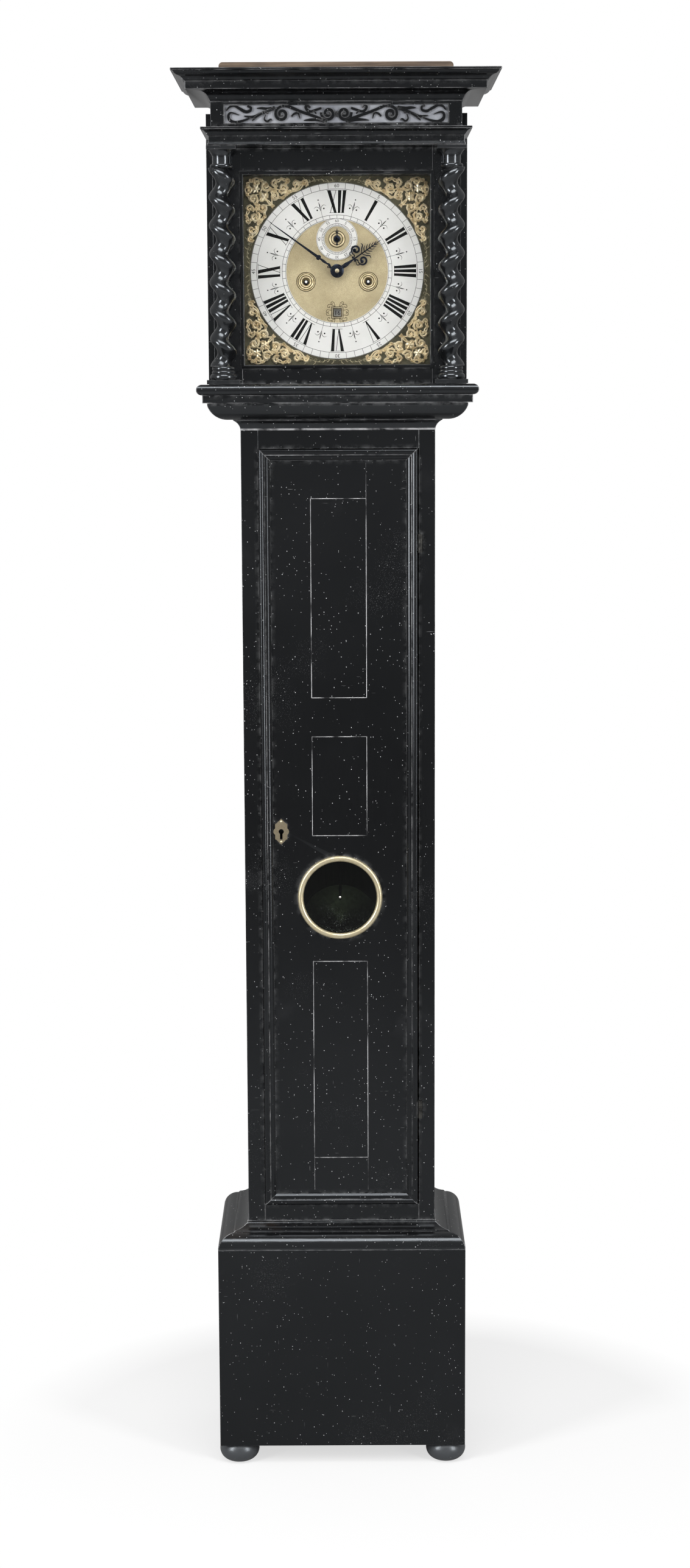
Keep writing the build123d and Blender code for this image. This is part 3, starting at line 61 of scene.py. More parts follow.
bodies = frame["record"]["behaviour"]["bodies"]
body_of = {name: body for body, members in bodies.items() for name in members}
MM = 0.001

# Places read from the frame
rings_low, rings_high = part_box("dial_rings")
DIAL_Z = (rings_low.z + rings_high.z) / 2
DIAL_FACE_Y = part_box("dial_plate")[0].y
RING_FACE_Y = rings_low.y
TRUNK_FRONT_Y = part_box("trunk_front_frame")[0].y

# Places on the dial, in mm from its centre
SECONDS_RISE = 42.4
WINDING_SIDE = 42.0
WINDING_DROP = 14.0
DATE_DROP = 55.0

# Names and numbers of sockets and nodes that every new material has
SHADER = "Principled BSDF"
MIX_A = 6
MIX_B = 7
MIX_RESULT = 2


# Small tools

def linked(name, data):
    """New object in the scene with this data."""
    made = bpy.data.objects.new(name, data)
    bpy.context.scene.collection.objects.link(made)
    return made


def open_tree(owner):
    """Turn on the nodes of a material or world, whose tree takes those that follow."""
    global tree
    owner.use_nodes = True
    tree = owner.node_tree


def material(name):
    """New material, whose tree takes the nodes that follow."""
    made = bpy.data.materials.new(name)
    open_tree(made)
    return made


def fill(made, inputs):
    """Set the inputs of a node, or link those whose value is a socket."""
    for key, value in inputs.items():
        if isinstance(value, bpy.types.NodeSocket):
            tree.links.new(value, made.inputs[key])
        else:
            made.inputs[key].default_value = value


def node(kind, inputs=None, **settings):
    """Add a shader node with its settings and inputs."""
    made = tree.nodes.new("ShaderNode" + kind)
    for key, value in settings.items():
        setattr(made, key, value)
    fill(made, inputs or {})
    return made


def local_place():
    """Object coordinates in metres."""
    return node("TexCoord").outputs["Object"]


def stretched(scale):
    """Object coordinates in metres, scaled along each axis."""
    inputs = {"Vector": local_place(), "Scale": scale}
    return node("Mapping", inputs).outputs["Vector"]


def distance_from(place):
    """Distance in metres from a place."""
    inputs = {0: local_place(), 1: place}
    return node("VectorMath", inputs, operation="DISTANCE").outputs["Value"]


def noise(scale, detail, grain=(1, 1, 1), rough=0.55):
    """Noise over object coordinates, finer along an axis where the grain is larger."""
    inputs = {"Scale": scale, "Detail": detail, "Roughness": rough, "Vector": stretched(grain)}
    return node("TexNoise", inputs).outputs["Fac"]


def scatter(scale, squash=(1, 1, 1)):
    """Scattered points: distance to the nearest, and a random value for each."""
    made = node("TexVoronoi", {"Scale": scale, "Vector": stretched(squash)})
    pick = node("SeparateColor", {0: made.outputs["Color"]}).outputs[0]
    return made.outputs["Distance"], pick


def scaled(value, low, high):
    """A value of 0 to 1 brought between two limits."""
    inputs = {"Value": value, "To Min": low, "To Max": high}
    return node("MapRange", inputs).outputs["Result"]


def ramp(value, low, high, reverse=False):
    """Rise from 0 to 1 between two limits of a value, or fall if reversed."""
    inputs = {"Value": value, "From Min": low, "From Max": high,
              "To Min": float(reverse), "To Max": float(not reverse)}
    return node("MapRange", inputs).outputs["Result"]


def times(a, b):
    """Product of two values."""
    return node("Math", {0: a, 1: b}, operation="MULTIPLY").outputs[0]


def most(first, *others):
    """Largest of the values."""
    for other in others:
        first = node("Math", {0: first, 1: other}, operation="MAXIMUM").outputs[0]
    return first


def blend_colour(factor, a, b):
    """Mix of two colours by a factor."""
    a, b = (c if isinstance(c, bpy.types.NodeSocket) else (*c, 1.0) for c in (a, b))
    made = node("Mix", {0: factor, MIX_A: a, MIX_B: b}, data_type="RGBA")
    return made.outputs[MIX_RESULT]


def coat(colour, rough, height, depth, strength, **others):
    """Colour, roughness, bump and other inputs of the material's shader."""
    inputs = {"Height": height, "Distance": depth, "Strength": strength}
    relief = node("Bump", inputs).outputs["Normal"]
    others = {key.replace("_", " "): value for key, value in others.items()}
    inputs = {"Base Color": colour, "Roughness": rough, "Normal": relief, **others}
    fill(tree.nodes[SHADER], inputs)


def edge_mask(radius):
    """White on the arrises of a piece, from how far its bevelled normal leans from its own."""
    rounded = node("Bevel", {"Radius": radius}, samples=4).outputs["Normal"]
    own = node("NewGeometry").outputs["Normal"]
    lean = node("VectorMath", {0: rounded, 1: own}, operation="DOT_PRODUCT")
    return ramp(lean.outputs["Value"], *EDGE_LEAN, reverse=True)


# Finishes: colours as red, green and blue, grains by axis, the rest as named

BLACK = (0.0034, 0.0035, 0.0038)
SOFT_BLACK = (0.006, 0.0061, 0.0066)
RUBBED_BLACK = (0.011, 0.011, 0.0118)
RUBBED_BROWN = (0.02, 0.0135, 0.0095)
JOINT_BLACK = (0.014, 0.0145, 0.016)
DUST = (0.62, 0.63, 0.64)
GLASS_DUST = (0.6, 0.62, 0.6)
# Pale colour of rubbed edges and joints; on the ebonised arrises it also serves as a painted
# highlight
BARE_EDGE = (0.5, 0.5, 0.51)
WOOD_GRIME = (0.05, 0.04, 0.035)
COOL_POLISH = (0.88, 0.94, 1.0, 1.0)
ALONG_UPRIGHT = (60, 60, 4)
ALONG_WIDTH = (4, 60, 60)
# Cosine of the lean where an arris begins and ends, and the rim of the dial's matting in metres
EDGE_LEAN = (0.88, 0.97)
MATTED_RIM = (0.088, 0.09)


def dust_marks():
    """White where specks, grit, haze, scratches and settled dust lie on black polish."""
    distance, pick = scatter(300.0, (1, 1, 0.9))
    sparse = times(ramp(pick, 0.945, 0.955), ramp(noise(5.0, 2.0), 0.34, 0.5))
    speck = times(ramp(distance, 0.12, 0.22, reverse=True), sparse)
    distance, pick = scatter(700.0, (1, 1, 0.8))
    drift = ramp(noise(7.0, 6.0), 0.56, 0.72)
    haze = times(ramp(distance, 0.1, 0.24, reverse=True), drift)
    grit = times(ramp(distance, 0.2, 0.34, reverse=True), ramp(pick, 0.984, 0.988))
    across = ramp(noise(26.0, 2.0, (1.0, 24, 24)), 0.755, 0.78)
    upright = ramp(noise(30.0, 2.0, (22, 22, 1.0)), 0.755, 0.78)
    patches = ramp(noise(11.0, 3.0), 0.5, 0.58)
    scratch = times(most(across, upright), patches)
    open_air = node("AmbientOcclusion", {"Distance": 7 * MM}, samples=4).outputs["AO"]
    settled = times(ramp(open_air, 0.35, 0.85, reverse=True), ramp(noise(90.0, 6.0), 0.44, 0.62))
    return most(speck, grit, times(haze, 0.3), times(scratch, 0.45), times(settled, 0.42))


def ebonised(name, grain=ALONG_UPRIGHT, dust=1.0, wear_and_highlight=1.0, brown=0.0, painted_sheen=0.0, polish=0.5,
             blur=0.0):
    """Blackened and polished wood: fine grain, white dust, scratches, rubbed arrises made paler as
    a painted highlight, and where given a painted cool sheen over the whole colour.
    """
    made = material(name)
    pores = noise(12.0, 4.0, grain)
    tint = blend_colour(ramp(noise(6.0, 4.0), 0.35, 0.7), BLACK, SOFT_BLACK)
    handled = ramp(noise(9.0, 5.0), 0.64 - 0.1 * brown, 0.75)
    rubbed = blend_colour(handled, tint, RUBBED_BROWN if brown else RUBBED_BLACK)
    marked = blend_colour(times(dust_marks(), 0.75 * dust), rubbed, DUST)
    # Pale arrises: rubbing, made stronger as a painted highlight along the edges
    arris = times(edge_mask(max(wear_and_highlight, 1.0) * MM), ramp(noise(38.0, 5.0), 0.38, 0.58))
    worn_and_highlit = blend_colour(times(arris, 0.7 * wear_and_highlight), marked, BARE_EDGE)
    # Painted sheen: the whole colour lifted toward a cool grey in place of broad reflections
    sheen_lifted = blend_colour(0.5 if painted_sheen else 0.0, worn_and_highlit, (painted_sheen, 1.06 * painted_sheen, 1.14 * painted_sheen))
    coat(sheen_lifted, scaled(pores, 0.12 + blur, 0.22 + blur), pores, 0.00018, 0.35,
         Specular_IOR_Level=polish, Specular_Tint=COOL_POLISH)
    return made


def metal(name, light, dark, rough=0.3, speckle=180.0, relief=0.00008, metallic=1.0):
    """Polished or aged metal with soft tarnish."""
    made = material(name)
    tarnish = ramp(noise(speckle, 6.0), 0.38, 0.66)
    broad = ramp(noise(22.0, 4.0), 0.35, 0.7)
    colour = blend_colour(tarnish, light, dark)
    colour = blend_colour(times(broad, 0.4), colour, dark)
    coat(colour, scaled(tarnish, rough, rough + 0.18), noise(3 * speckle, 3.0), relief, 0.5,
         Metallic=metallic)
    return made


def raw_wood(name, light, dark, grain=(3, 60, 60)):
    """Bare aged wood with streaky grain."""
    made = material(name)
    streak = noise(5.0, 8.0, grain, 0.65)
    colour = blend_colour(ramp(streak, 0.35, 0.65), dark, light)
    darkening = ramp(noise(18.0, 5.0), 0.5, 0.7)
    colour = blend_colour(times(darkening, 0.55), colour, WOOD_GRIME)
    coat(colour, 0.75, streak, 0.0006, 0.6)
    return made


def silvered(name, light, dark):
    """Brass whitened with silver and lacquered: brushed and softly clouded."""
    made = material(name)
    cloud = ramp(noise(24.0, 5.0), 0.35, 0.75)
    brushed = noise(40.0, 3.0, (1, 1, 40))
    colour = blend_colour(cloud, light, dark)
    shade = tuple(0.86 * value for value in dark)
    colour = blend_colour(times(brushed, 0.25), colour, shade)
    coat(colour, 0.42, brushed, 0.00006, 0.4, Metallic=0.35)
    return made


def glass(name, tint):
    """Old clear glass, faintly uneven."""
    made = material(name)
    coat((*tint, 1.0), 0.02, noise(14.0, 2.0), 0.0004, 0.12,
         IOR=1.12, Transmission_Weight=1.0)
    return made


def dusty_glass(name, tint):
    """Dark old glass with dust that lies thickest at its foot."""
    made = material(name)
    low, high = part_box("lenticle_glass")
    level = node("SeparateXYZ", {0: local_place()}).outputs["Z"]
    foot = ramp(level, low.z, low.z + 0.6 * (high.z - low.z), reverse=True)
    grains = ramp(scatter(620.0)[0], 0.1, 0.22, reverse=True)
    dust = times(times(grains, ramp(noise(60.0, 5.0), 0.45, 0.6)), foot)
    colour = blend_colour(dust, tint, GLASS_DUST)
    coat(colour, 0.04, noise(12.0, 2.0), 0.0004, 0.2,
         IOR=1.45, Transmission_Weight=scaled(dust, 1.0, 0.0))
    return made


def cloth_backing(name, light, dark):
    """Thin woven silk."""
    made = material(name)
    weave = noise(60.0, 2.0, (30, 30, 6))
    patch = ramp(noise(26.0, 4.0), 0.35, 0.65)
    colour = blend_colour(times(weave, 0.5), light, dark)
    colour = blend_colour(patch, colour, dark)
    coat(colour, 0.55, weave, 0.0002, 0.5, Sheen_Weight=0.3)
    return made


def joint_line(name):
    """Rubbed joint between two veneers, pale in places and black in others."""
    made = material(name)
    rubbed = ramp(noise(60.0, 6.0, (1, 1, 0.4)), 0.36, 0.6)
    colour = blend_colour(rubbed, JOINT_BLACK, BARE_EDGE)
    fill(tree.nodes[SHADER], {"Base Color": colour, "Roughness": 0.4})
    return made


def dial_plate_brass(name):
    """Dial plate: matted bright brass inside the chapter ring, olive engraved brass outside it."""
    made = material(name)
    outside = ramp(distance_from((0, DIAL_FACE_Y, DIAL_Z)), *MATTED_RIM)
    pit = ramp(scatter(1500.0)[0], 0.15, 0.55)
    patch = ramp(noise(26.0, 5.0), 0.38, 0.72)
    centre = blend_colour(pit, (0.27, 0.22, 0.125), (0.53, 0.445, 0.28))
    centre = blend_colour(times(patch, 0.6), centre, (0.27, 0.215, 0.12))
    border = blend_colour(patch, (0.1, 0.09, 0.055), (0.045, 0.04, 0.025))
    coat(blend_colour(outside, centre, border), 0.5, pit, 0.0003, 0.5, Metallic=0.8)
    return made


def twisted_gut(name):
    """Gut line with its lay."""
    made = material(name)
    lay = noise(900.0, 2.0)
    colour = blend_colour(lay, (0.42, 0.29, 0.13), (0.62, 0.47, 0.25))
    coat(colour, 0.45, lay, 0.0003, 0.5)
    return made


EBONY = ebonised("ebonised_case")
EBONY_ACROSS = ebonised("ebonised_across", ALONG_WIDTH)
EBONY_WORN = ebonised("ebonised_moulding", ALONG_WIDTH, dust=1.2, wear_and_highlight=1.5, brown=0.3, polish=0.8)
# Mouldings whose pale arrises are raised further as a painted highlight
EBONY_HIGHLIT_EDGES = ebonised("ebonised_rubbed_and_highlit_edges", ALONG_WIDTH, wear_and_highlight=1.3)
# Columns and feet: their colour lifted toward cool grey as a painted sheen
EBONY_COLUMN = ebonised("ebonised_column", dust=0.6, wear_and_highlight=0.9, painted_sheen=0.01, polish=1.0)
EBONY_FOOT = ebonised("ebonised_foot", dust=0.7, wear_and_highlight=0.4, painted_sheen=0.1, polish=1.0, blur=0.16)
BRASS = metal("polished_brass", (0.86, 0.77, 0.54), (0.64, 0.55, 0.35), metallic=0.8)
TURNED_BRASS = metal("turned_brass", (0.8, 0.68, 0.44), (0.5, 0.4, 0.23), 0.42, metallic=0.85)
OLD_BRASS = metal("aged_brass", (0.5, 0.43, 0.3), (0.3, 0.25, 0.17), 0.42)
HINGE_METAL = metal("blackened_hinges", (0.1, 0.098, 0.09), (0.03, 0.03, 0.03), 0.5)
MOVEMENT_BRASS = metal("movement_brass", (0.68, 0.52, 0.26), (0.5, 0.36, 0.16))
GILT = metal("gilt_spandrels", (0.98, 0.89, 0.68), (0.6, 0.47, 0.27), speckle=150.0, relief=0.0003,
             metallic=0.6)
SILVERED = silvered("silvered_ring", (0.74, 0.725, 0.7), (0.64, 0.625, 0.595))
# The date ring's silvering darkened as painted shade of its place behind the dial plate
SHADED_SILVER = silvered("date_silver_painted_shade", (0.3, 0.295, 0.28), (0.2, 0.195, 0.185))
DIAL_BRASS = dial_plate_brass("dial_plate_brass")
IRON = metal("dark_iron", (0.12, 0.12, 0.125), (0.06, 0.058, 0.055), 0.45)
BLUED = metal("blued_steel", (0.02, 0.024, 0.035), (0.008, 0.009, 0.013), 0.32)
# Near-black steel that stands in as painted shade of the winding holes
HOLE_SHADE_STEEL = metal("arbor_steel_painted_shade", (0.05, 0.05, 0.055), (0.02, 0.02, 0.022), 0.35)
WAX = metal("black_wax", (0.012, 0.012, 0.012), (0.02, 0.019, 0.018), 0.6)
RAW = raw_wood("raw_oak", (0.2, 0.145, 0.1), (0.085, 0.058, 0.04))
RAW_UPRIGHT = raw_wood("raw_oak_upright", (0.17, 0.12, 0.075), (0.075, 0.05, 0.032), (60, 60, 3))
CLEAR = glass("clear_glass", (0.97, 0.98, 0.98))
LENTICLE = dusty_glass("lenticle_glass", (0.16, 0.2, 0.18))
BRIGHT_LINES = metal("engraved_lines", (0.46, 0.41, 0.27), (0.3, 0.26, 0.16), 0.4)
# Dark lines: engraving on the plate, and painted shade in the ring grooves and round the date frame
CUT_AND_SHADE_LINES = metal("cut_lines_and_painted_shade", (0.11, 0.085, 0.045), (0.06, 0.048, 0.026), 0.5)
JOINT_LINE = joint_line("rubbed_joint")
SILK = cloth_backing("faded_silk", (0.46, 0.475, 0.51), (0.22, 0.23, 0.26))
GUT = twisted_gut("gut_line")

# Casework: the CAD shapes with their arrises eased, each with its finish and bevel in mm

SHARP_ANGLE = radians(30)
WELD = 0.00001
FLAT_ANGLE = radians(0.6)
CASEWORK = {
    "base_front_board": (EBONY, 1.2), "base_side_boards": (EBONY, 1.0),
    "base_moulding": (EBONY_WORN, 0.6), "trunk_side_boards": (EBONY, 0.8),
    "trunk_front_frame": (EBONY, 0.5), "throat_moulding": (EBONY_WORN, 0.6),
    "trunk_door_panel": (EBONY, 0.5), "trunk_door_moulding": (EBONY_HIGHLIT_EDGES, 0.5),
    "hood_base_moulding": (EBONY_WORN, 0.5), "hood_side_boards": (EBONY, 0.6),
    "hood_mask": (EBONY, 0.4), "hood_door_frame": (EBONY_ACROSS, 0.4),
    "hood_architrave": (EBONY_HIGHLIT_EDGES, 0.4), "hood_frieze_boards": (EBONY_ACROSS, 0.4),
    "hood_cornice": (EBONY_HIGHLIT_EDGES, 0.6), "hood_dust_board": (RAW, 1.5),
}


def softened(name, finish, width):
    """The CAD node's own shape with eased arrises that catch the light."""
    mesh = nodes[name].data.copy()
    mesh.materials.clear()
    mesh.materials.append(finish)
    shape = bmesh.new()
    shape.from_mesh(mesh)
    bmesh.ops.remove_doubles(shape, verts=shape.verts, dist=WELD)
    bmesh.ops.dissolve_limit(shape, angle_limit=FLAT_ANGLE, verts=shape.verts, edges=shape.edges)
    for face in shape.faces:
        face.material_index = 0
    shape.to_mesh(mesh)
    shape.free()
    mesh.shade_smooth()
    mesh.set_sharp_from_angle(angle=SHARP_ANGLE)
    piece = linked(name + ".eased", mesh)
    easing = piece.modifiers.new("easing", "BEVEL")
    easing.width = width * MM
    easing.segments = 2
    easing.limit_method = "ANGLE"
    easing.angle_limit = SHARP_ANGLE
    easing.harden_normals = True
    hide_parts(name)
    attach(piece, body_of[name])


for name, (finish, width) in CASEWORK.items():
    softened(name, finish, width)

# Pieces that keep their CAD shape and take a finish, where it isn't the movement's brass
FINISHES = (
    (EBONY_FOOT, "bun_feet"), (EBONY_COLUMN, "left_twist_column right_twist_column"),
    (RAW, "base_bottom_board seat_board"), (RAW_UPRIGHT, "backboard"),
    (BRASS, "lenticle_ring going_weight strike_weight pendulum_bob"), (OLD_BRASS, "escutcheon"),
    (LENTICLE, "lenticle_glass"), (CLEAR, "hood_door_glass"), (GUT, "going_line strike_line"),
    (DIAL_BRASS, "dial_plate"), (SILVERED, "dial_rings"), (SHADED_SILVER, "date_ring"),
    (IRON, "pendulum_rod trunk_door_lock lock_bolt anchor_crutch hammer"),
    (HINGE_METAL, "trunk_case_hinges trunk_door_hinges"),
)
finish_of = {name: finish for finish, names in FINISHES for name in names.split()}
for name, piece in nodes.items():
    if name not in CASEWORK:
        piece.data.materials.clear()
        piece.data.materials.append(finish_of.get(name, MOVEMENT_BRASS))

ARBOR_RADIUS = 3.7 * MM


def steel_arbor(name, x):
    """Steel on the faces of a barrel that lie close round its arbor, made near black as painted
    shade of the winding hole.
    """
    mesh = nodes[name].data
    low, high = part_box(name)
    middle = (low.z + high.z) / 2
    mesh.materials.append(HOLE_SHADE_STEEL)
    for face in mesh.polygons:
        corners = [mesh.vertices[i].co for i in face.vertices]
        if all(hypot(c.x - x, c.z - middle) < ARBOR_RADIUS for c in corners):
            face.material_index = 1


steel_arbor("going_barrel", WINDING_SIDE * MM)
steel_arbor("strike_barrel", -WINDING_SIDE * MM)


# Drawing on a front face: heights of ink and of a dot in mm, and how pieces are made

INK = 0.06
DOT = 0.08
CAPITAL_SHARE = 0.72
CLOSED_UNDER = 0.5
CREASE = radians(42)
SPIRAL_EASE = 0.8


class Relief:
    """Mesh drawn on a front face: across, up and out toward the viewer in mm, turned clockwise."""

    def __init__(self, x, z, face_y, turn=0.0):
        self.shape = bmesh.new()
        self.origin = Vector((x, face_y, z))
        self.turned_by(turn)

    def turned_by(self, turn):
        """Turn what is drawn next clockwise by an angle in degrees."""
        self.cos = cos(radians(turn))
        self.sin = sin(radians(turn))

    def vert(self, u, v, w):
        """Vertex at a place across, up and out."""
        x = u * self.cos + v * self.sin
        z = v * self.cos - u * self.sin
        return self.shape.verts.new(self.origin + Vector((x, -w, z)) * MM)

    def face(self, corners):
        """Face between vertices."""
        if len(set(corners)) > 2:
            self.shape.faces.new(corners)

    def slab(self, points, low, high):
        """Flat plate with this outline."""
        under = [self.vert(u, v, low) for u, v in points]
        over = [self.vert(u, v, high) for u, v in points]
        self.face(over)
        for i, corner in enumerate(under):
            after = (i + 1) % len(under)
            self.face([corner, under[after], over[after], over[i]])

    def ribbon(self, points, widths, low, high, crown=0.0):
        """Strip along points, as wide at each as its width, with a ridge along its middle."""
        rows = []
        for i, (u, v) in enumerate(points):
            before, after = points[max(i - 1, 0)], points[min(i + 1, len(points) - 1)]
            run, rise = after[0] - before[0], after[1] - before[1]
            length = hypot(run, rise) or 1.0
            across, along = -rise / length * widths[i] / 2, run / length * widths[i] / 2
            rows.append([
                self.vert(u + across, v + along, low), self.vert(u + across, v + along, high),
                self.vert(u, v, high + crown), self.vert(u - across, v - along, high),
                self.vert(u - across, v - along, low),
            ])
        for first, second in zip(rows, rows[1:]):
            for i in range(4):
                self.face([first[i], first[i + 1], second[i + 1], second[i]])
        self.face(rows[0])
        self.face(rows[-1])

    def line(self, points, width, low=0.0, high=INK):
        """Thin even strip along points."""
        self.ribbon(points, [width] * len(points), low, high)

    def leafy(self, points, width, low, high, crown, start=0.45, end=0.25):
        """Strip that swells in its middle and tapers to its ends."""
        last = len(points) - 1
        widths = []
        for i in range(last + 1):
            share = i / last
            ease = start + (end - start) * share
            widths.append(width * (ease + (1 - ease) * sin(pi * share)))
        self.ribbon(points, widths, low, high, crown)

    def turned(self, u, v, profile, segments):
        """Round piece about a centre from a list of radius and height."""
        ways = [2 * pi * i / segments for i in range(segments)]
        rings = []
        for radius, height in profile:
            rings.append([
                self.vert(u + radius * cos(way), v + radius * sin(way), height)
                for way in ways
            ])
        for first, second in zip(rings, rings[1:]):
            for i in range(segments):
                after = (i + 1) % segments
                self.face([first[i], first[after], second[after], second[i]])
        if profile[-1][0] < CLOSED_UNDER:
            self.face(rings[-1])

    def dot(self, u, v, radius):
        """Round domed spot."""
        self.turned(u, v, [(radius, 0), (radius, DOT * 0.6), (0.7 * radius, DOT * 0.9), (0.2, DOT)],
                    12)

    def lettering(self, text, v, height):
        """Numerals centred across at a place up, as tall as the height."""
        curve = bpy.data.curves.new("numerals", "FONT")
        curve.body = text
        curve.size = height / CAPITAL_SHARE
        curve.align_x = "CENTER"
        curve.align_y = "CENTER"
        curve.resolution_u = 2
        holder = linked("numerals", curve)
        bpy.context.view_layer.update()
        flat = bpy.data.meshes.new_from_object(holder)
        placed = [self.vert(c.co.x, v + c.co.y, INK) for c in flat.vertices]
        for polygon in flat.polygons:
            self.face([placed[i] for i in polygon.vertices])
        bpy.data.objects.remove(holder)
        bpy.data.curves.remove(curve)
        bpy.data.meshes.remove(flat)

    def made(self, name, finish, owner, slot=None, replaces=False, smooth=True, ink=False):
        """Turn the drawing into a piece that rides with the node that owns it."""
        if ink:
            for face in self.shape.faces:
                face.normal_update()
                if face.normal.y > 0:
                    face.normal_flip()
        else:
            bmesh.ops.recalc_face_normals(self.shape, faces=self.shape.faces)
        mesh = bpy.data.meshes.new(name)
        self.shape.to_mesh(mesh)
        self.shape.free()
        mesh.materials.append(finish)
        if smooth and not ink:
            mesh.shade_smooth()
            mesh.set_sharp_from_angle(angle=CREASE)
        piece = linked(name, mesh)
        if replaces:
            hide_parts(owner)
        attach(piece, body_of[owner])


def spiral(u, v, outer, inner, start, sweep, steps=26):
    """Points that wind from an outer to an inner radius about a centre, angles in degrees."""
    points = []
    for i in range(steps + 1):
        share = i / steps
        radius = outer + (inner - outer) * share ** SPIRAL_EASE
        angle = radians(start + sweep * share)
        points.append((u + radius * cos(angle), v + radius * sin(angle)))
    return points


def flowing(knots, side=1, steps=8):
    """Smooth curve through knots, mirrored where the side is -1."""
    knots = [(side * u, v) for u, v in knots]
    ends = [knots[0], *knots, knots[-1]]
    points = []
    for a, b, c, d in zip(ends, ends[1:], ends[2:], ends[3:]):
        for i in range(steps):
            t = i / steps
            points.append(tuple(
                0.5 * (2 * q + (r - p) * t + (2 * p - 5 * q + 4 * r - s) * t * t
                       + (3 * q - p - 3 * r + s) * t ** 3)
                for p, q, r, s in zip(a, b, c, d)
            ))
    points.append(knots[-1])
    return points


def circle(radius, steps, u=0.0, v=0.0):
    """Points round a circle, closed."""
    return spiral(u, v, radius, radius, 0, 360, steps)


def mirrored(points):
    """The same points on the other side of the middle."""
    return [(-u, v) for u, v in points]


# Dial: engraving on the silvered rings, in mm, with radii from the middle of its ring

NUMERALS = ["XII", "I", "II", "III", "IIII", "V", "VI", "VII", "VIII", "IX", "X", "XI"]
LETTER_WIDTH = {"I": 3.9, "V": 9.8, "X": 11.0}
LETTER_GAP = 1.8
NUMERAL_FOOT = 77.0
NUMERAL_HEAD = 106.5
NUMERAL_MIDDLE = 92.0
MINUTE_BAND = (108.4, 116.6)
QUARTER_BAND = (69.4, 74.2)
HAIR = 0.5
THIN_STROKE = 0.7
SERIF = 0.7
SECONDS_BAND = (17.6, 20.4)
SECONDS_RIM = 27.0
SECONDS_NUMERAL = 23.8
DAYS = 31
DAY_SHOWN = 16
DATE_NUMERAL_DROP = 55.5


def fanned(points):
    """Strokes of a numeral, spread so that they point at the centre of the dial."""
    return [(u * v / NUMERAL_MIDDLE, v) for u, v in points]


def roman_letter(ink, letter, left):
    """One Roman letter with thick and thin strokes and hair serifs."""
    width = LETTER_WIDTH[letter]
    right = left + width
    foot, head = NUMERAL_FOOT, NUMERAL_HEAD
    thick = LETTER_WIDTH["I"]
    if letter == "I":
        ink.slab(fanned([(left, foot), (right, foot), (right, head), (left, head)]), 0, INK)
    if letter == "V":
        low = left + 0.5 * width
        ink.slab(fanned([(left, head), (left + thick, head), (low + 1.3, foot), (low - 0.7, foot)]),
                 0, INK)
        ink.line(fanned([(right - 0.5, head), (low + 0.6, foot)]), THIN_STROKE)
    if letter == "X":
        ink.slab(fanned([(left, head), (left + thick + 0.3, head), (right, foot),
                         (right - thick - 0.3, foot)]), 0, INK)
        ink.line(fanned([(right - 0.8, head), (left + 0.8, foot)]), THIN_STROKE)
    for level in (foot, head):
        ink.line(fanned([(left - SERIF, level), (right + SERIF, level)]), HAIR)


def roman_numeral(ink, numeral):
    """Roman numeral with its feet to the centre."""
    total = sum(LETTER_WIDTH[letter] for letter in numeral) + LETTER_GAP * (len(numeral) - 1)
    left = -total / 2
    for letter in numeral:
        roman_letter(ink, letter, left)
        left += LETTER_WIDTH[letter] + LETTER_GAP


def half_hour_mark(ink):
    """Sprig between two numerals: a stem, a leaf, two tendrils and three berries."""
    ink.line([(0, QUARTER_BAND[1]), (0, 85.5)], 0.4)
    for side in (-1, 1):
        tendril = flowing([(0, 81.5), (1.6, 86.6), (5.0, 89.0), (8.4, 87.4)], side)
        ink.leafy(tendril, 0.6, 0, INK, 0)
        ink.dot(side * 4.6, 84.4, 1.1)
    ink.leafy([(0, 84.5), (0, 87.5), (0, 91.0), (0, 94.0)], 1.3, 0, INK, 0)
    ink.dot(0, 97.0, 0.9)


def chapter_engraving():
    """Minute band, quarter band, hour numerals and half-hour sprigs of the chapter ring."""
    ink = Relief(0, DIAL_Z, RING_FACE_Y)
    for radius in (*MINUTE_BAND, *QUARTER_BAND):
        ink.line(circle(radius, 180), HAIR)
    for minute in range(60):
        ink.turned_by(6 * minute)
        if minute % 5:
            ink.line([(0, v) for v in MINUTE_BAND], HAIR)
        else:
            ink.lettering(str(minute or 60), sum(MINUTE_BAND) / 2, 5.0)
    for quarter in range(48):
        ink.turned_by(7.5 * quarter)
        ink.line([(0, v) for v in QUARTER_BAND], HAIR)
    for hour, numeral in enumerate(NUMERALS):
        ink.turned_by(30 * hour)
        roman_numeral(ink, numeral)
        ink.turned_by(30 * hour + 15)
        half_hour_mark(ink)
    ink.made("chapter_engraving", WAX, "dial_rings", ink=True)


def seconds_engraving():
    """Divisions and numerals of the seconds ring."""
    ink = Relief(0, DIAL_Z + SECONDS_RISE * MM, RING_FACE_Y)
    for radius in (*SECONDS_BAND, SECONDS_RIM):
        ink.line(circle(radius, 120), 0.4)
    for second in range(60):
        ink.turned_by(6 * second)
        ink.line([(0, v) for v in SECONDS_BAND], HAIR)
        if second % 5 == 0:
            ink.lettering(str(second or 60), SECONDS_NUMERAL, 3.9)
    ink.made("seconds_engraving", WAX, "dial_rings", ink=True)


def date_engraving():
    """Days of the month round the date ring, upright where they pass the opening."""
    ink = Relief(0, DIAL_Z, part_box("date_ring")[0].y)
    for day in range(DAYS):
        ink.turned_by(360 * day / DAYS)
        ink.lettering(str((DAY_SHOWN - 1 - day) % DAYS + 1), -DATE_NUMERAL_DROP, 6.2)
    ink.made("date_engraving", WAX, "date_ring", ink=True)


# Dial: turned rings as radius and height, date opening and engraved plate

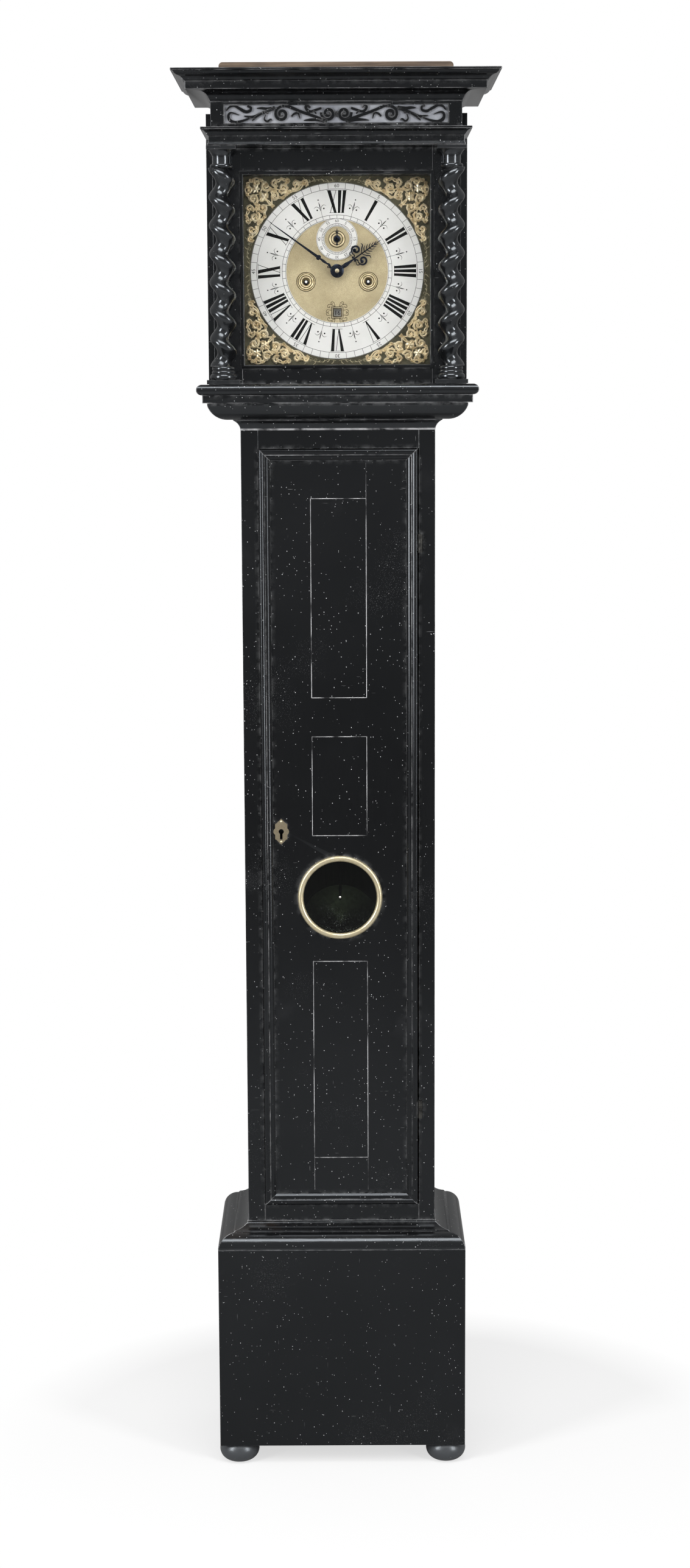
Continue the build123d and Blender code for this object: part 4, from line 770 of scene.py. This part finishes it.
HOLE_RING = [(5.5, -0.4), (5.6, 0.6), (6.4, 1.1), (7.2, 0.9), (7.5, 0.1), (8.1, 0.1), (8.4, 0.9),
             (9.2, 1.2), (9.9, 0.8), (10.1, 0.1), (10.7, 0.1), (11.0, 0.6), (11.7, 0.7),
             (12.2, 0.3), (12.3, -0.2)]
SECONDS_RING = [(4.6, -0.4), (4.8, 0.6), (6.0, 1.1), (6.9, 0.9), (7.2, 0.1), (8.0, 0.1), (8.3, 0.8),
                (9.4, 1.1), (10.2, 0.7), (10.5, 0.1), (11.2, 0.2), (11.5, -0.2)]
# Radii in mm of the dark rings painted as shade in the grooves
HOLE_GROOVES = (7.8, 10.4, 12.6)
SECONDS_GROOVES = (7.6, 10.9)
TURNINGS = (
    ((-WINDING_SIDE, -WINDING_DROP), HOLE_RING, HOLE_GROOVES),
    ((WINDING_SIDE, -WINDING_DROP), HOLE_RING, HOLE_GROOVES),
    ((0, SECONDS_RISE), SECONDS_RING, SECONDS_GROOVES),
)
DATE_INNER = 5.6
DATE_OUTER = 7.4


def turned_dial_rings():
    """Turned brass rings round the winding holes and the seconds arbor, painted shade in their
    grooves, and bright discs on the arbors' ends as a painted glint.
    """
    brass = Relief(0, DIAL_Z, DIAL_FACE_Y)
    darkening = Relief(0, DIAL_Z, DIAL_FACE_Y)
    for place, ring, grooves in TURNINGS:
        brass.turned(*place, ring, 64)
        for radius in grooves:
            # Dark rings drawn in the grooves: painted shade
            darkening.line(circle(radius, 64, *place), 0.9, 0, 0.3)
    brass.made("dial_turned_rings", TURNED_BRASS, "dial_plate", "brass")
    darkening.made("dial_ring_groove_shade", CUT_AND_SHADE_LINES, "dial_plate", "brass", smooth=False)
    # Bright discs on the arbors' ends: a painted glint
    for name, x in (("going_barrel", WINDING_SIDE), ("strike_barrel", -WINDING_SIDE)):
        end = Relief(0, DIAL_Z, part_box(name)[0].y)
        end.turned(x, -WINDING_DROP, [(1.7, 0), (1.5, 0.1), (0.3, 0.15)], 20)
        end.made(name + "_end_glint", SILVERED, name)


def date_opening():
    """Bevelled frame of the date opening, painted shade along its inner and outer edges, and its
    engraved crest and tail.
    """
    middle = DIAL_Z - DATE_DROP * MM
    brass = Relief(0, middle, DIAL_FACE_Y)
    inner, outer = DATE_INNER, DATE_OUTER
    for quarter in range(4):
        brass.turned_by(90 * quarter)
        brass.slab([(-outer, outer), (outer, outer), (inner, inner), (-inner, inner)], -0.2, 0.4)
    brass.made("date_frame", OLD_BRASS, "dial_plate", "brass", smooth=False)
    # Dark lines round the opening and round the frame's outside: painted shade
    edge = Relief(0, middle, DIAL_FACE_Y)
    for reach, wide in ((inner - 0.2, 1.4), (outer + 0.4, 1.0)):
        edge.line([(-reach, -reach), (reach, -reach), (reach, reach), (-reach, reach),
                   (-reach, -reach)], wide, 0, 0.5)
    edge.made("date_frame_edge_shade", CUT_AND_SHADE_LINES, "dial_plate", "brass", smooth=False)
    lines = Relief(0, middle, DIAL_FACE_Y)
    for half_turn in (0, 180):
        lines.turned_by(half_turn)
        for side in (-1, 1):
            for reach, rise, curl in ((11.0, 11.0, 3.0), (7.0, 14.5, 2.2), (13.0, 4.0, 2.6)):
                stem = flowing([(3.0, 8.0), (reach * 0.6, rise * 0.9), (reach, rise)], side)
                lines.line(stem, 0.7)
                lines.line(spiral(side * reach, rise - curl, curl, 0.6, 90, -side * 320), 0.7)
    lines.made("date_flourish", CUT_AND_SHADE_LINES, "dial_plate", "brass", ink=True)


PLATE_EDGE = 122.0
RING_OUTSIDE = 118.6
SCROLL_ROOM = 119.4


def plate_engraving():
    """Engraved foliage on the dial plate between the spandrels, on all four sides."""
    lines = Relief(0, DIAL_Z, DIAL_FACE_Y)
    edge = PLATE_EDGE
    for quarter in range(4):
        lines.turned_by(90 * quarter)
        for side in (-1, 1):
            stem = [(2, edge - 3.0), (12, edge - 4.5), (24, edge - 1.0), (40, edge - 6.0)]
            lines.line(flowing(stem, side), 0.5)
            for step in range(7):
                foot = (side * (5 + 6.2 * step), edge - 3.2 - 1.4 * sin(step))
                down = -1 if step % 2 else 1
                tip = (foot[0] + side * 3.4, min(foot[1] + down * 4.6, edge + 2.6))
                if hypot(*tip) < RING_OUTSIDE:
                    tip = (tip[0], edge - 1.0)
                leaf = [foot, (foot[0] + side * 0.6, (foot[1] + tip[1]) / 2), tip]
                lines.leafy(flowing(leaf), 1.1, 0, 0.07, 0)
            for step in range(4):
                reach = 30 + 7.0 * step
                low = sqrt(max(SCROLL_ROOM ** 2 - reach ** 2, 0))
                scroll = spiral(side * reach, (low + edge) / 2, (edge - low) / 2 - 0.6, 0.8, 200,
                                side * 380)
                lines.line(scroll, 0.45)
    lines.made("plate_engraving", BRIGHT_LINES, "dial_plate", "brass", ink=True)


# Dial: corner spandrels

SPANDREL_REACH = 86.0
SPANDREL_EDGE = 124.0
SCROLL_SIZES = (8.0, 6.8, 5.6, 4.6, 3.8, 3.1, 2.5)
SCROLL_TRIES = 700
SCROLL_OVERLAP = 0.88
CURL_STEPS = 22


def spandrel_room(s, t):
    """Free radius at a place in the corner, measured in from its two edges."""
    ring = hypot(SPANDREL_EDGE - s, SPANDREL_EDGE - t) - RING_OUTSIDE
    tail = SPANDREL_REACH - max(s, t)
    slope = (SPANDREL_REACH * 1.16 - s - t) * 0.9
    return min(s, t, ring, tail, slope)


def spandrel_scrolls(seed):
    """Centres and sizes of the scrolls that fill one half of a corner."""
    dice = Random(seed)
    scrolls = []
    for size in SCROLL_SIZES:
        for _ in range(SCROLL_TRIES):
            s, t = dice.uniform(2, SPANDREL_REACH), dice.uniform(2, SPANDREL_REACH * 0.5)
            if t > s or spandrel_room(s, t) < size * SCROLL_OVERLAP:
                continue
            if s - t < size * 1.35 and s - t > 0.2:
                continue
            if all(hypot(s - a, t - b) > (size + r) * SCROLL_OVERLAP for a, b, r in scrolls):
                scrolls.append((s, t, size))
    return scrolls


def spandrel(brass, scrolls, seed):
    """One corner ornament: scrolls, the stems between them, leaves and bosses, on both sides."""
    dice = Random(seed)

    def placed(points, flip):
        return [(-SPANDREL_EDGE + (t if flip else s), SPANDREL_EDGE - (s if flip else t))
                for s, t in points]

    for s, t, size in scrolls:
        start = dice.uniform(0, 360)
        sweep = dice.choice((-1, 1)) * dice.uniform(340, 470)
        body_width = 0.52 * size ** 0.75 + 1.05
        curl = spiral(s, t, size * 0.9, size * 0.24, start, sweep, CURL_STEPS)
        leaves = []
        for share in (0.1, 0.35, 0.6):
            foot = curl[int(share * CURL_STEPS)]
            away = atan2(foot[1] - t, foot[0] - s) + dice.uniform(-0.5, 0.5)
            tip = (foot[0] + size * 0.34 * cos(away), foot[1] + size * 0.34 * sin(away))
            bow = ((foot[0] + tip[0]) / 2 + 0.4, (foot[1] + tip[1]) / 2)
            leaves.append(flowing([foot, bow, tip], steps=4))
        for flip in (False, True):
            brass.leafy(placed(curl, flip), body_width, 0.2, 1.3, 1.5, 0.8, 0.6)
            boss = placed(curl[-1:], flip)[0]
            brass.turned(*boss, [(0.2 * size, 0.2), (0.2 * size, 1.7), (0.12 * size, 2.5),
                                 (0.3, 2.8)], 10)
            for leaf in leaves:
                brass.leafy(placed(leaf, flip), 0.38 * size, 0.2, 1.2, 1.4, 0.7, 0.2)
    for i, (s, t, _) in enumerate(scrolls):
        others = scrolls[:i] + scrolls[i + 1:]
        for a, b, _ in sorted(others, key=lambda c: hypot(c[0] - s, c[1] - t))[:2]:
            bow = (0.5 * (s + a) + 0.18 * (b - t), 0.5 * (t + b) - 0.18 * (a - s))
            stem = flowing([(s, t), bow, (a, b)], steps=5)
            for flip in (False, True):
                brass.leafy(placed(stem, flip), 1.8, 0.1, 0.8, 0.8, 0.9, 0.9)


def spandrels():
    """The four gilt corner ornaments, each with two flowers near its corner."""
    scrolls = spandrel_scrolls(11)
    brass = Relief(0, DIAL_Z, DIAL_FACE_Y)
    for quarter in range(4):
        brass.turned_by(90 * quarter)
        spandrel(brass, scrolls, 5)
        for inset in (15.0, 26.0):
            u, v = -SPANDREL_EDGE + inset, SPANDREL_EDGE - inset
            for petal in range(6):
                way = radians(60 * petal)
                tip = (u + 6.2 * cos(way), v + 6.2 * sin(way))
                leaf = flowing([(u, v), ((u + tip[0]) / 2, (v + tip[1]) / 2), tip], steps=4)
                brass.leafy(leaf, 3.6, 0.2, 1.8, 1.0, 0.4, 0.3)
            brass.turned(u, v, [(2.2, 0.4), (2.0, 2.4), (1.2, 3.2), (0.3, 3.4)], 14)
    brass.made("cast_spandrels", GILT, "dial_spandrels", replaces=True)


# Hands, with their turns from twelve in degrees

HOUR_TURN = 55.4
MINUTE_TURN = 305.6


def back_and_thickness(name):
    """Place of a node's back, and its thickness in mm."""
    low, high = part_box(name)
    return high.y, (high.y - low.y) / MM


def hour_hand():
    """Pierced hour hand: blade, paired scrolls, leafy stem and needle."""
    back_y, thick = back_and_thickness("hour_hand")
    steel = Relief(0, DIAL_Z, back_y, HOUR_TURN)
    low, high = 0.1, 0.85 * thick
    ridged, flat = (low, high, 0.3), (low, high, 0.1)
    steel.turned(0, 0, [(4.6, low), (9.0, low), (9.0, high), (8.2, high + 0.2), (4.6, high + 0.2),
                        (4.6, low)], 48)
    steel.ribbon([(0, 8), (0, 12), (0, 15), (0, 20), (0, 27)], [4.4, 5.2, 5.6, 3.6, 1.8], *ridged)
    steel.ribbon([(0, 26), (0, 45), (0, 60), (0, 71.8)], [2.2, 1.6, 1.4, 0.5], *flat)
    for side in (-1, 1):
        steel.turned(side * 2.6, 27.5, [(1.5, low), (1.5, high), (0.8, high + 0.4),
                                        (0.2, high + 0.5)], 14)
        loop = spiral(side * 8.2, 36.8, 7.0, 2.2, 250 if side > 0 else 290, side * 400, 34)
        steel.leafy(loop, 2.7, *ridged, 0.5, 0.9)
        steel.leafy(flowing([(0, 27), (3.6, 30.6), (6.2, 30.4)], side), 1.7, *flat)
        steel.turned(*loop[-1], [(2.4, low), (2.4, high), (1.4, high + 0.4), (0.2, high + 0.5)], 16)
        leaf = flowing([(4.0, 28.0), (8.4, 26.6), (10.2, 29.4), (8.2, 31.0)], side)
        steel.leafy(leaf, 1.3, *flat)
        branch = flowing([(0, 40.0), (5.0, 43.6), (8.6, 47.6), (12.0, 47.0)], side)
        steel.leafy(branch, 1.6, *flat)
        for place, reach in ((45.0, 6.6), (49.0, 5.6), (53.0, 4.6), (57.0, 3.4), (61.0, 2.2)):
            tine = flowing([(0, place), (reach * 0.6, place + 1.6), (reach, place + 5.2)], side)
            steel.leafy(tine, 1.15, *flat, 0.8, 0.2)
    steel.made("pierced_hour_hand", BLUED, "hour_hand", replaces=True)


def minute_hand():
    """Minute hand: a scrolled root, a baluster and a long plain pointer, its collet and pin."""
    back_y, thick = back_and_thickness("minute_hand")
    steel = Relief(0, DIAL_Z, back_y, MINUTE_TURN)
    low, high = 0.1, 0.8 * thick
    ridged, flat = (low, high, 0.35), (low, high, 0.1)
    steel.turned(0, 0, [(3.0, low), (7.4, low), (7.4, high), (6.6, high + 0.2), (3.0, high + 0.2),
                        (3.0, low)], 40)
    root = flowing([(0, 6.5), (-1.4, 10.0), (0.6, 13.5), (0.0, 17.0)])
    steel.leafy(root, 3.0, *ridged, 0.9, 0.7)
    steel.leafy(spiral(-2.4, 12.2, 2.2, 0.7, -40, 300, 14), 1.3, *flat)
    steel.ribbon([(0, 16.5), (0, 19.0), (0, 22.5), (0, 26.0), (0, 28.0), (0, 30.5), (0, 34.0),
                  (0, 60.0), (0, 90.0), (0, 110.6)],
                 [2.0, 3.0, 3.8, 2.6, 2.2, 4.8, 3.8, 2.3, 1.5, 0.6], *ridged)
    for side in (-1, 1):
        steel.turned(side * 2.0, 29.4, [(1.3, low), (1.3, high), (0.7, high + 0.3),
                                        (0.2, high + 0.4)], 12)
        steel.leafy(flowing([(0, 27.5), (2.8, 30.2), (2.4, 33.0)], side), 1.3, *flat)
    steel.made("baluster_minute_hand", BLUED, "minute_hand", replaces=True)
    collet = Relief(0, DIAL_Z, back_y)
    top = thick + 1.4
    collet.turned(0, 0, [(2.1, thick), (8.9, thick), (9.0, thick + 0.3), (8.0, thick + 0.9),
                         (6.0, top), (2.1, top + 0.2), (2.1, thick)], 56)
    collet.made("hand_collet", BLUED, "minute_hand")
    pin = Relief(0, DIAL_Z, back_y)
    pin.turned(0, 0, [(2.2, top - 0.5), (2.9, top - 0.2), (2.9, top + 0.3), (2.2, top + 0.9),
                      (0.3, top + 1.1)], 36)
    pin.made("hand_pin", OLD_BRASS, "minute_hand", "brass")


def seconds_hand():
    """Small seconds hand with a domed boss and a short tail."""
    back_y, thick = back_and_thickness("seconds_hand")
    steel = Relief(0, DIAL_Z + SECONDS_RISE * MM, back_y)
    low, high = 0.2, 0.6 * thick
    flat = (low, high, 0.1)
    steel.turned(0, 0, [(1.3, 0), (4.4, 0), (4.4, high), (3.4, 0.9 * thick), (1.6, thick),
                        (0.3, thick)], 32)
    steel.ribbon([(0, -8.5), (0, -5.5), (0, -3.0)], [2.2, 1.6, 1.6], *flat)
    steel.ribbon([(0, 3.0), (0, 7.0), (0, 9.0), (0, 14.0)], [1.6, 1.2, 2.0, 0.5], *flat)
    for side in (-1, 1):
        steel.leafy(flowing([(0, 8.0), (1.6, 9.4), (2.4, 11.2)], side, 5), 0.9, *flat)
    steel.made("boss_seconds_hand", BLUED, "seconds_hand", replaces=True)


# Gut lines


def gut_line(name):
    """Copy of a gut line, which runs between the seat board and the pulley of its weight."""
    piece = linked(name + "_drawn", nodes[name].data.copy())
    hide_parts(name)
    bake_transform(piece)


# Frieze fret

FRET_LENGTH = 295.0
FRET_HEIGHT = 24.5
FRET_STROKE = 1.5
FRET_BORDER = 0.9

# Vines of the fret's right half: width, its shares at the start and end, and knots
FRET_VINES = (
    (2.6, 0.9, 0.7, ((19.0, 7.4), (26.5, 5.0), (33.0, 3.0), (37.8, 4.4), (40.0, 8.6), (37.6, 10.8),
     (35.0, 8.6))),
    (2.9, 0.8, 0.9, ((12.0, -9.4), (27.5, -3.6), (47.5, 3.2), (62.5, 9.4), (71.5, 10.6))),
    (2.6, 0.9, 0.2, ((80.5, 8.6), (91.0, 6.8), (98.0, 7.4), (104.5, 7.2))),
    (3.0, 0.9, 0.2, ((82.0, 6.6), (97.0, 1.2), (108.5, -3.6), (121.0, -2.6))),
    (2.2, 0.9, 0.2, ((97.0, 1.2), (104.5, -3.4), (111.0, -9.0))),
    (3.0, 0.5, 0.2, ((113.0, -5.0), (123.0, -8.6), (133.0, -10.4), (140.0, -7.4), (141.6, -1.6),
     (137.6, 1.8), (127.5, -1.2))),
    (2.8, 0.5, 0.7, ((144.5, 4.2), (140.0, 9.0), (134.0, 10.6), (127.5, 7.4), (119.0, 2.9),
     (113.0, 4.4), (112.2, 8.2), (115.4, 9.8))),
    (2.0, 0.4, 0.2, ((92.6, -0.6), (94.4, -6.6), (90.6, -9.6), (86.4, -6.8), (84.0, -8.4))),
    (2.2, 0.9, 0.2, ((59.0, -3.4), (55.0, 0.2), (50.0, 0.6), (47.6, -6.4))),
    (2.6, 0.2, 0.9, ((43.0, -8.4), (34.0, -7.6), (26.0, -7.8), (15.0, -10.0))),
    (1.8, 0.6, 0.6, ((0.0, 3.6), (1.0, 0.0), (0.0, -3.6))),
    (1.5, 0.9, 0.2, ((30.0, 3.6), (27.2, 1.4), (26.4, -0.6))),
    (1.5, 0.9, 0.2, ((94.0, 3.2), (90.6, 1.0), (88.2, 2.2))),
)


def fret():
    """Pierced scrollwork in ebonised wood, mirrored about its middle."""
    low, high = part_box("frieze_fret")
    thick = (high.y - low.y) / MM
    wood = Relief(0, (low.z + high.z) / 2, high.y)
    top = thick - 0.1
    half, tall = FRET_LENGTH / 2, FRET_HEIGHT / 2
    for sign in (-1, 1):
        rail, stile = sign * (tall - FRET_BORDER), sign * (half - FRET_BORDER)
        wood.slab([(-half, rail), (half, rail), (half, sign * tall), (-half, sign * tall)], 0, top)
        edge = sign * half
        wood.slab([(stile, -tall), (edge, -tall), (edge, tall), (stile, tall)], 0, top)
    inner = spiral(10.6, 0.4, 9.6, 1.8, 10, -560, 46)
    outer = spiral(71.5, -0.4, 10.4, 2.0, 110, -560, 46)
    strips = [(inner, 3.0, 0.8, 0.8), (outer, 3.0, 0.8, 0.8)]
    strips += [(flowing(knots), *sizes) for *sizes, knots in FRET_VINES]
    for points, width, start, end in strips:
        for drawn in (points, mirrored(points)):
            wood.leafy(drawn, FRET_STROKE * width, 0, top - 0.1, 0.1, start, end)
    for points, width in ((inner, 2.4), (outer, 2.6), (strips[2][0], 2.2), (strips[8][0], 2.2)):
        for end in (points[-1], mirrored(points)[-1]):
            wood.turned(*end, [(width * 0.72, 0), (width * 0.72, top - 0.1), (0.3, top)], 16)
    wood.made("scrolled_fret", EBONY_ACROSS, "frieze_fret", replaces=True)


SILK_COLUMNS = 120
SILK_ROWS = 12
SILK_RIPPLE = 0.00006


def silk_sheet():
    """Thin silk stretched behind the fret, faintly rippled."""
    low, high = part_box("fret_backing")
    wide, tall = high.x - low.x, high.z - low.z
    middle = (low.y + high.y) / 2
    dice = Random(4)
    first, second, third = (dice.uniform(0, 6.28) for _ in range(3))
    shape = bmesh.new()
    grid = []
    for i in range(SILK_COLUMNS + 1):
        x = low.x + wide * i / SILK_COLUMNS
        for j in range(SILK_ROWS + 1):
            z = low.z + tall * j / SILK_ROWS
            ripple = sin(150 * x + first) * sin(260 * z + second) + sin(420 * x + third)
            grid.append(shape.verts.new((x, middle + SILK_RIPPLE * ripple, z)))
    for i in range(SILK_COLUMNS):
        for j in range(SILK_ROWS):
            a = i * (SILK_ROWS + 1) + j
            b = a + SILK_ROWS + 1
            shape.faces.new([grid[a], grid[b], grid[b + 1], grid[a + 1]])
    mesh = bpy.data.meshes.new("silk")
    shape.to_mesh(mesh)
    shape.free()
    mesh.materials.append(SILK)
    mesh.shade_smooth()
    piece = linked("silk", mesh)
    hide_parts("fret_backing")
    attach(piece, body_of["fret_backing"])


# Trunk door: veneer joints, escutcheon pins and lenticle, with heights above the floor in mm

VENEER_HALF = 37.7
PANEL_SPANS = ((1092, 1364), (900, 1038), (439, 722))
JOINT_ENDS = ((1, 392, 439), (1, 1364, 1412), (-1, 392, 439))
PIN_REACH = 14.2


def door_lines():
    """Pale joints round the trunk door's three veneered panels, and short ends beyond them."""
    lines = Relief(0, 0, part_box("trunk_door_panel")[0].y)
    left, right = -VENEER_HALF, VENEER_HALF
    for foot, head in PANEL_SPANS:
        corners = [(left, foot), (right, foot), (right, head), (left, head), (left, foot)]
        for start, end in zip(corners, corners[1:]):
            lines.line([start, end], 0.9, -0.02, 0.05)
    for side, foot, head in JOINT_ENDS:
        lines.line([(side * VENEER_HALF, foot), (side * VENEER_HALF, head)], 0.3, -0.02, 0.03)
    lines.made("door_joints", JOINT_LINE, "trunk_door_panel", smooth=False)


def lenticle_eye():
    """Small knob left at the middle of the old blown glass, in silvered metal as a painted
    highlight.
    """
    low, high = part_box("lenticle_glass")
    eye = Relief(0, (low.z + high.z) / 2, low.y)
    eye.turned(0, 0, [(1.6, -0.1), (1.2, 0.3), (0.6, 0.5), (0.2, 0.55)], 20)
    eye.made("lenticle_eye", SILVERED, "lenticle_glass")


def escutcheon_pins():
    """Domed pins at the head and foot of the escutcheon."""
    low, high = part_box("escutcheon")
    pins = Relief((low.x + high.x) / 2, (low.z + high.z) / 2, low.y)
    for end in (-1, 1):
        pins.turned(0, end * PIN_REACH, [(1.5, -0.3), (1.4, 0.3), (0.8, 0.7), (0.2, 0.8)], 16)
    pins.made("escutcheon_pins", BRASS, "escutcheon")


# Hood door: joints between rails and stiles, rubbed pale

HOOD_JOINT_SIDE = 127.6
SIGHT_HALF = 125
SIGHT_BEAD = 5.5


def hood_joints():
    """Upright joints between the rails and stiles of the hood door."""
    low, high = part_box("hood_door_frame")
    sight_low, sight_high = DIAL_Z / MM - SIGHT_HALF, DIAL_Z / MM + SIGHT_HALF
    lines = Relief(0, 0, low.y + 0.002)
    for side in (-1, 1):
        x = side * HOOD_JOINT_SIDE
        for foot, head in ((low.z / MM + 1, sight_low - SIGHT_BEAD),
                           (sight_high + SIGHT_BEAD, high.z / MM - 1)):
            lines.line([(x, foot), (x, head)], 0.35, -0.3, 0.04)
    lines.made("hood_joints", JOINT_LINE, "hood_door_frame", smooth=False)


chapter_engraving()
seconds_engraving()
date_engraving()
turned_dial_rings()
date_opening()
plate_engraving()
spandrels()
hour_hand()
minute_hand()
seconds_hand()
gut_line("going_line")
gut_line("strike_line")
fret()
silk_sheet()
door_lines()
lenticle_eye()
escutcheon_pins()
hood_joints()


# Camera and studio, in metres and degrees: each light's place, size and power

PHOTO_HEIGHT = 2576
FOCAL_PIXELS = 4217.0
CAMERA_DISTANCE = 3.500
CAMERA_HEIGHT = 1.514
CAMERA_PITCH = 8.8
CAMERA_ROLL = 0.26
CAMERA_SIDE = 0.0075
SENSOR = 36.0
WORLD_LEVEL = 0.3
FLOOR_HALF = 9.0
FLOOR_GREY = (0.4, 0.4, 0.4)
SHADOW_MIDDLE = (0.05, -0.05, 0)
SHADOW_GLOW = 0.64
SHADOW_REACH = (0.26, 0.6)
LIGHT_AIM = Vector((0, 0, 1.0))
LIGHTS = (
    ("left_box", (-2.5, -2.1, 1.9), (0.8, 2.5), 76),
    ("right_box", (2.5, -2.3, 1.7), (0.7, 2.5), 64),
    ("top_box", (0.0, -1.5, 3.7), (2.0, 1.2), 46),
)


def camera():
    """Camera at the photograph's viewing angle."""
    data = bpy.data.cameras.new("view")
    data.sensor_width = SENSOR
    data.lens = FOCAL_PIXELS * SENSOR / PHOTO_HEIGHT
    data.clip_start = 0.05
    seen = linked("view", data)
    seen.location = (CAMERA_SIDE, TRUNK_FRONT_Y - CAMERA_DISTANCE, CAMERA_HEIGHT)
    aim = Matrix.Rotation(radians(90 - CAMERA_PITCH), 4, "X")
    seen.rotation_euler = (aim @ Matrix.Rotation(radians(-CAMERA_ROLL), 4, "Z")).to_euler()
    bpy.context.scene.camera = seen


def area_light(name, place, size, power):
    """Soft rectangular studio light that points at the middle of the clock."""
    data = bpy.data.lights.new(name, "AREA")
    data.shape = "RECTANGLE"
    data.size, data.size_y = size
    data.energy = power
    lamp = linked(name, data)
    lamp.location = place
    lamp.rotation_euler = (LIGHT_AIM - Vector(place)).to_track_quat("-Z", "Y").to_euler()


def floor():
    """Pale floor, white to the camera away from the clock, which keeps its soft shadow."""
    mesh = bpy.data.meshes.new("floor")
    shape = bmesh.new()
    bmesh.ops.create_grid(shape, x_segments=1, y_segments=1, size=FLOOR_HALF)
    shape.to_mesh(mesh)
    shape.free()
    made = material("studio_floor")
    ray = node("LightPath").outputs["Is Camera Ray"]
    shader = tree.nodes[SHADER]
    fill(shader, {"Base Color": blend_colour(ray, FLOOR_GREY, (1.0, 1.0, 1.0)), "Roughness": 0.9,
                  "Specular IOR Level": 0.0})
    away = ramp(distance_from(SHADOW_MIDDLE), *SHADOW_REACH)
    open_floor = times(ray, most(SHADOW_GLOW, away))
    glow = node("Emission", {"Color": (1, 1, 1, 1), "Strength": 1.0})
    mixed = node("MixShader", {0: open_floor, 1: shader.outputs[0], 2: glow.outputs[0]})
    fill(tree.nodes["Material Output"], {"Surface": mixed.outputs[0]})
    mesh.materials.append(made)
    piece = linked("floor", mesh)


def studio_world():
    """Even studio light, white to the camera and through glass."""
    world = bpy.data.worlds.new("studio")
    open_tree(world)
    ray = node("LightPath").outputs
    seen = most(ray["Is Camera Ray"], ray["Is Transmission Ray"])
    fill(tree.nodes["Background"],
         {"Color": (1, 1, 1, 1), "Strength": scaled(seen, WORLD_LEVEL, 1.0)})
    bpy.context.scene.world = world
    bpy.context.scene.view_settings.view_transform = "Standard"


camera()
floor()
studio_world()
for name, place, size, power in LIGHTS:
    area_light(name, place, size, power)
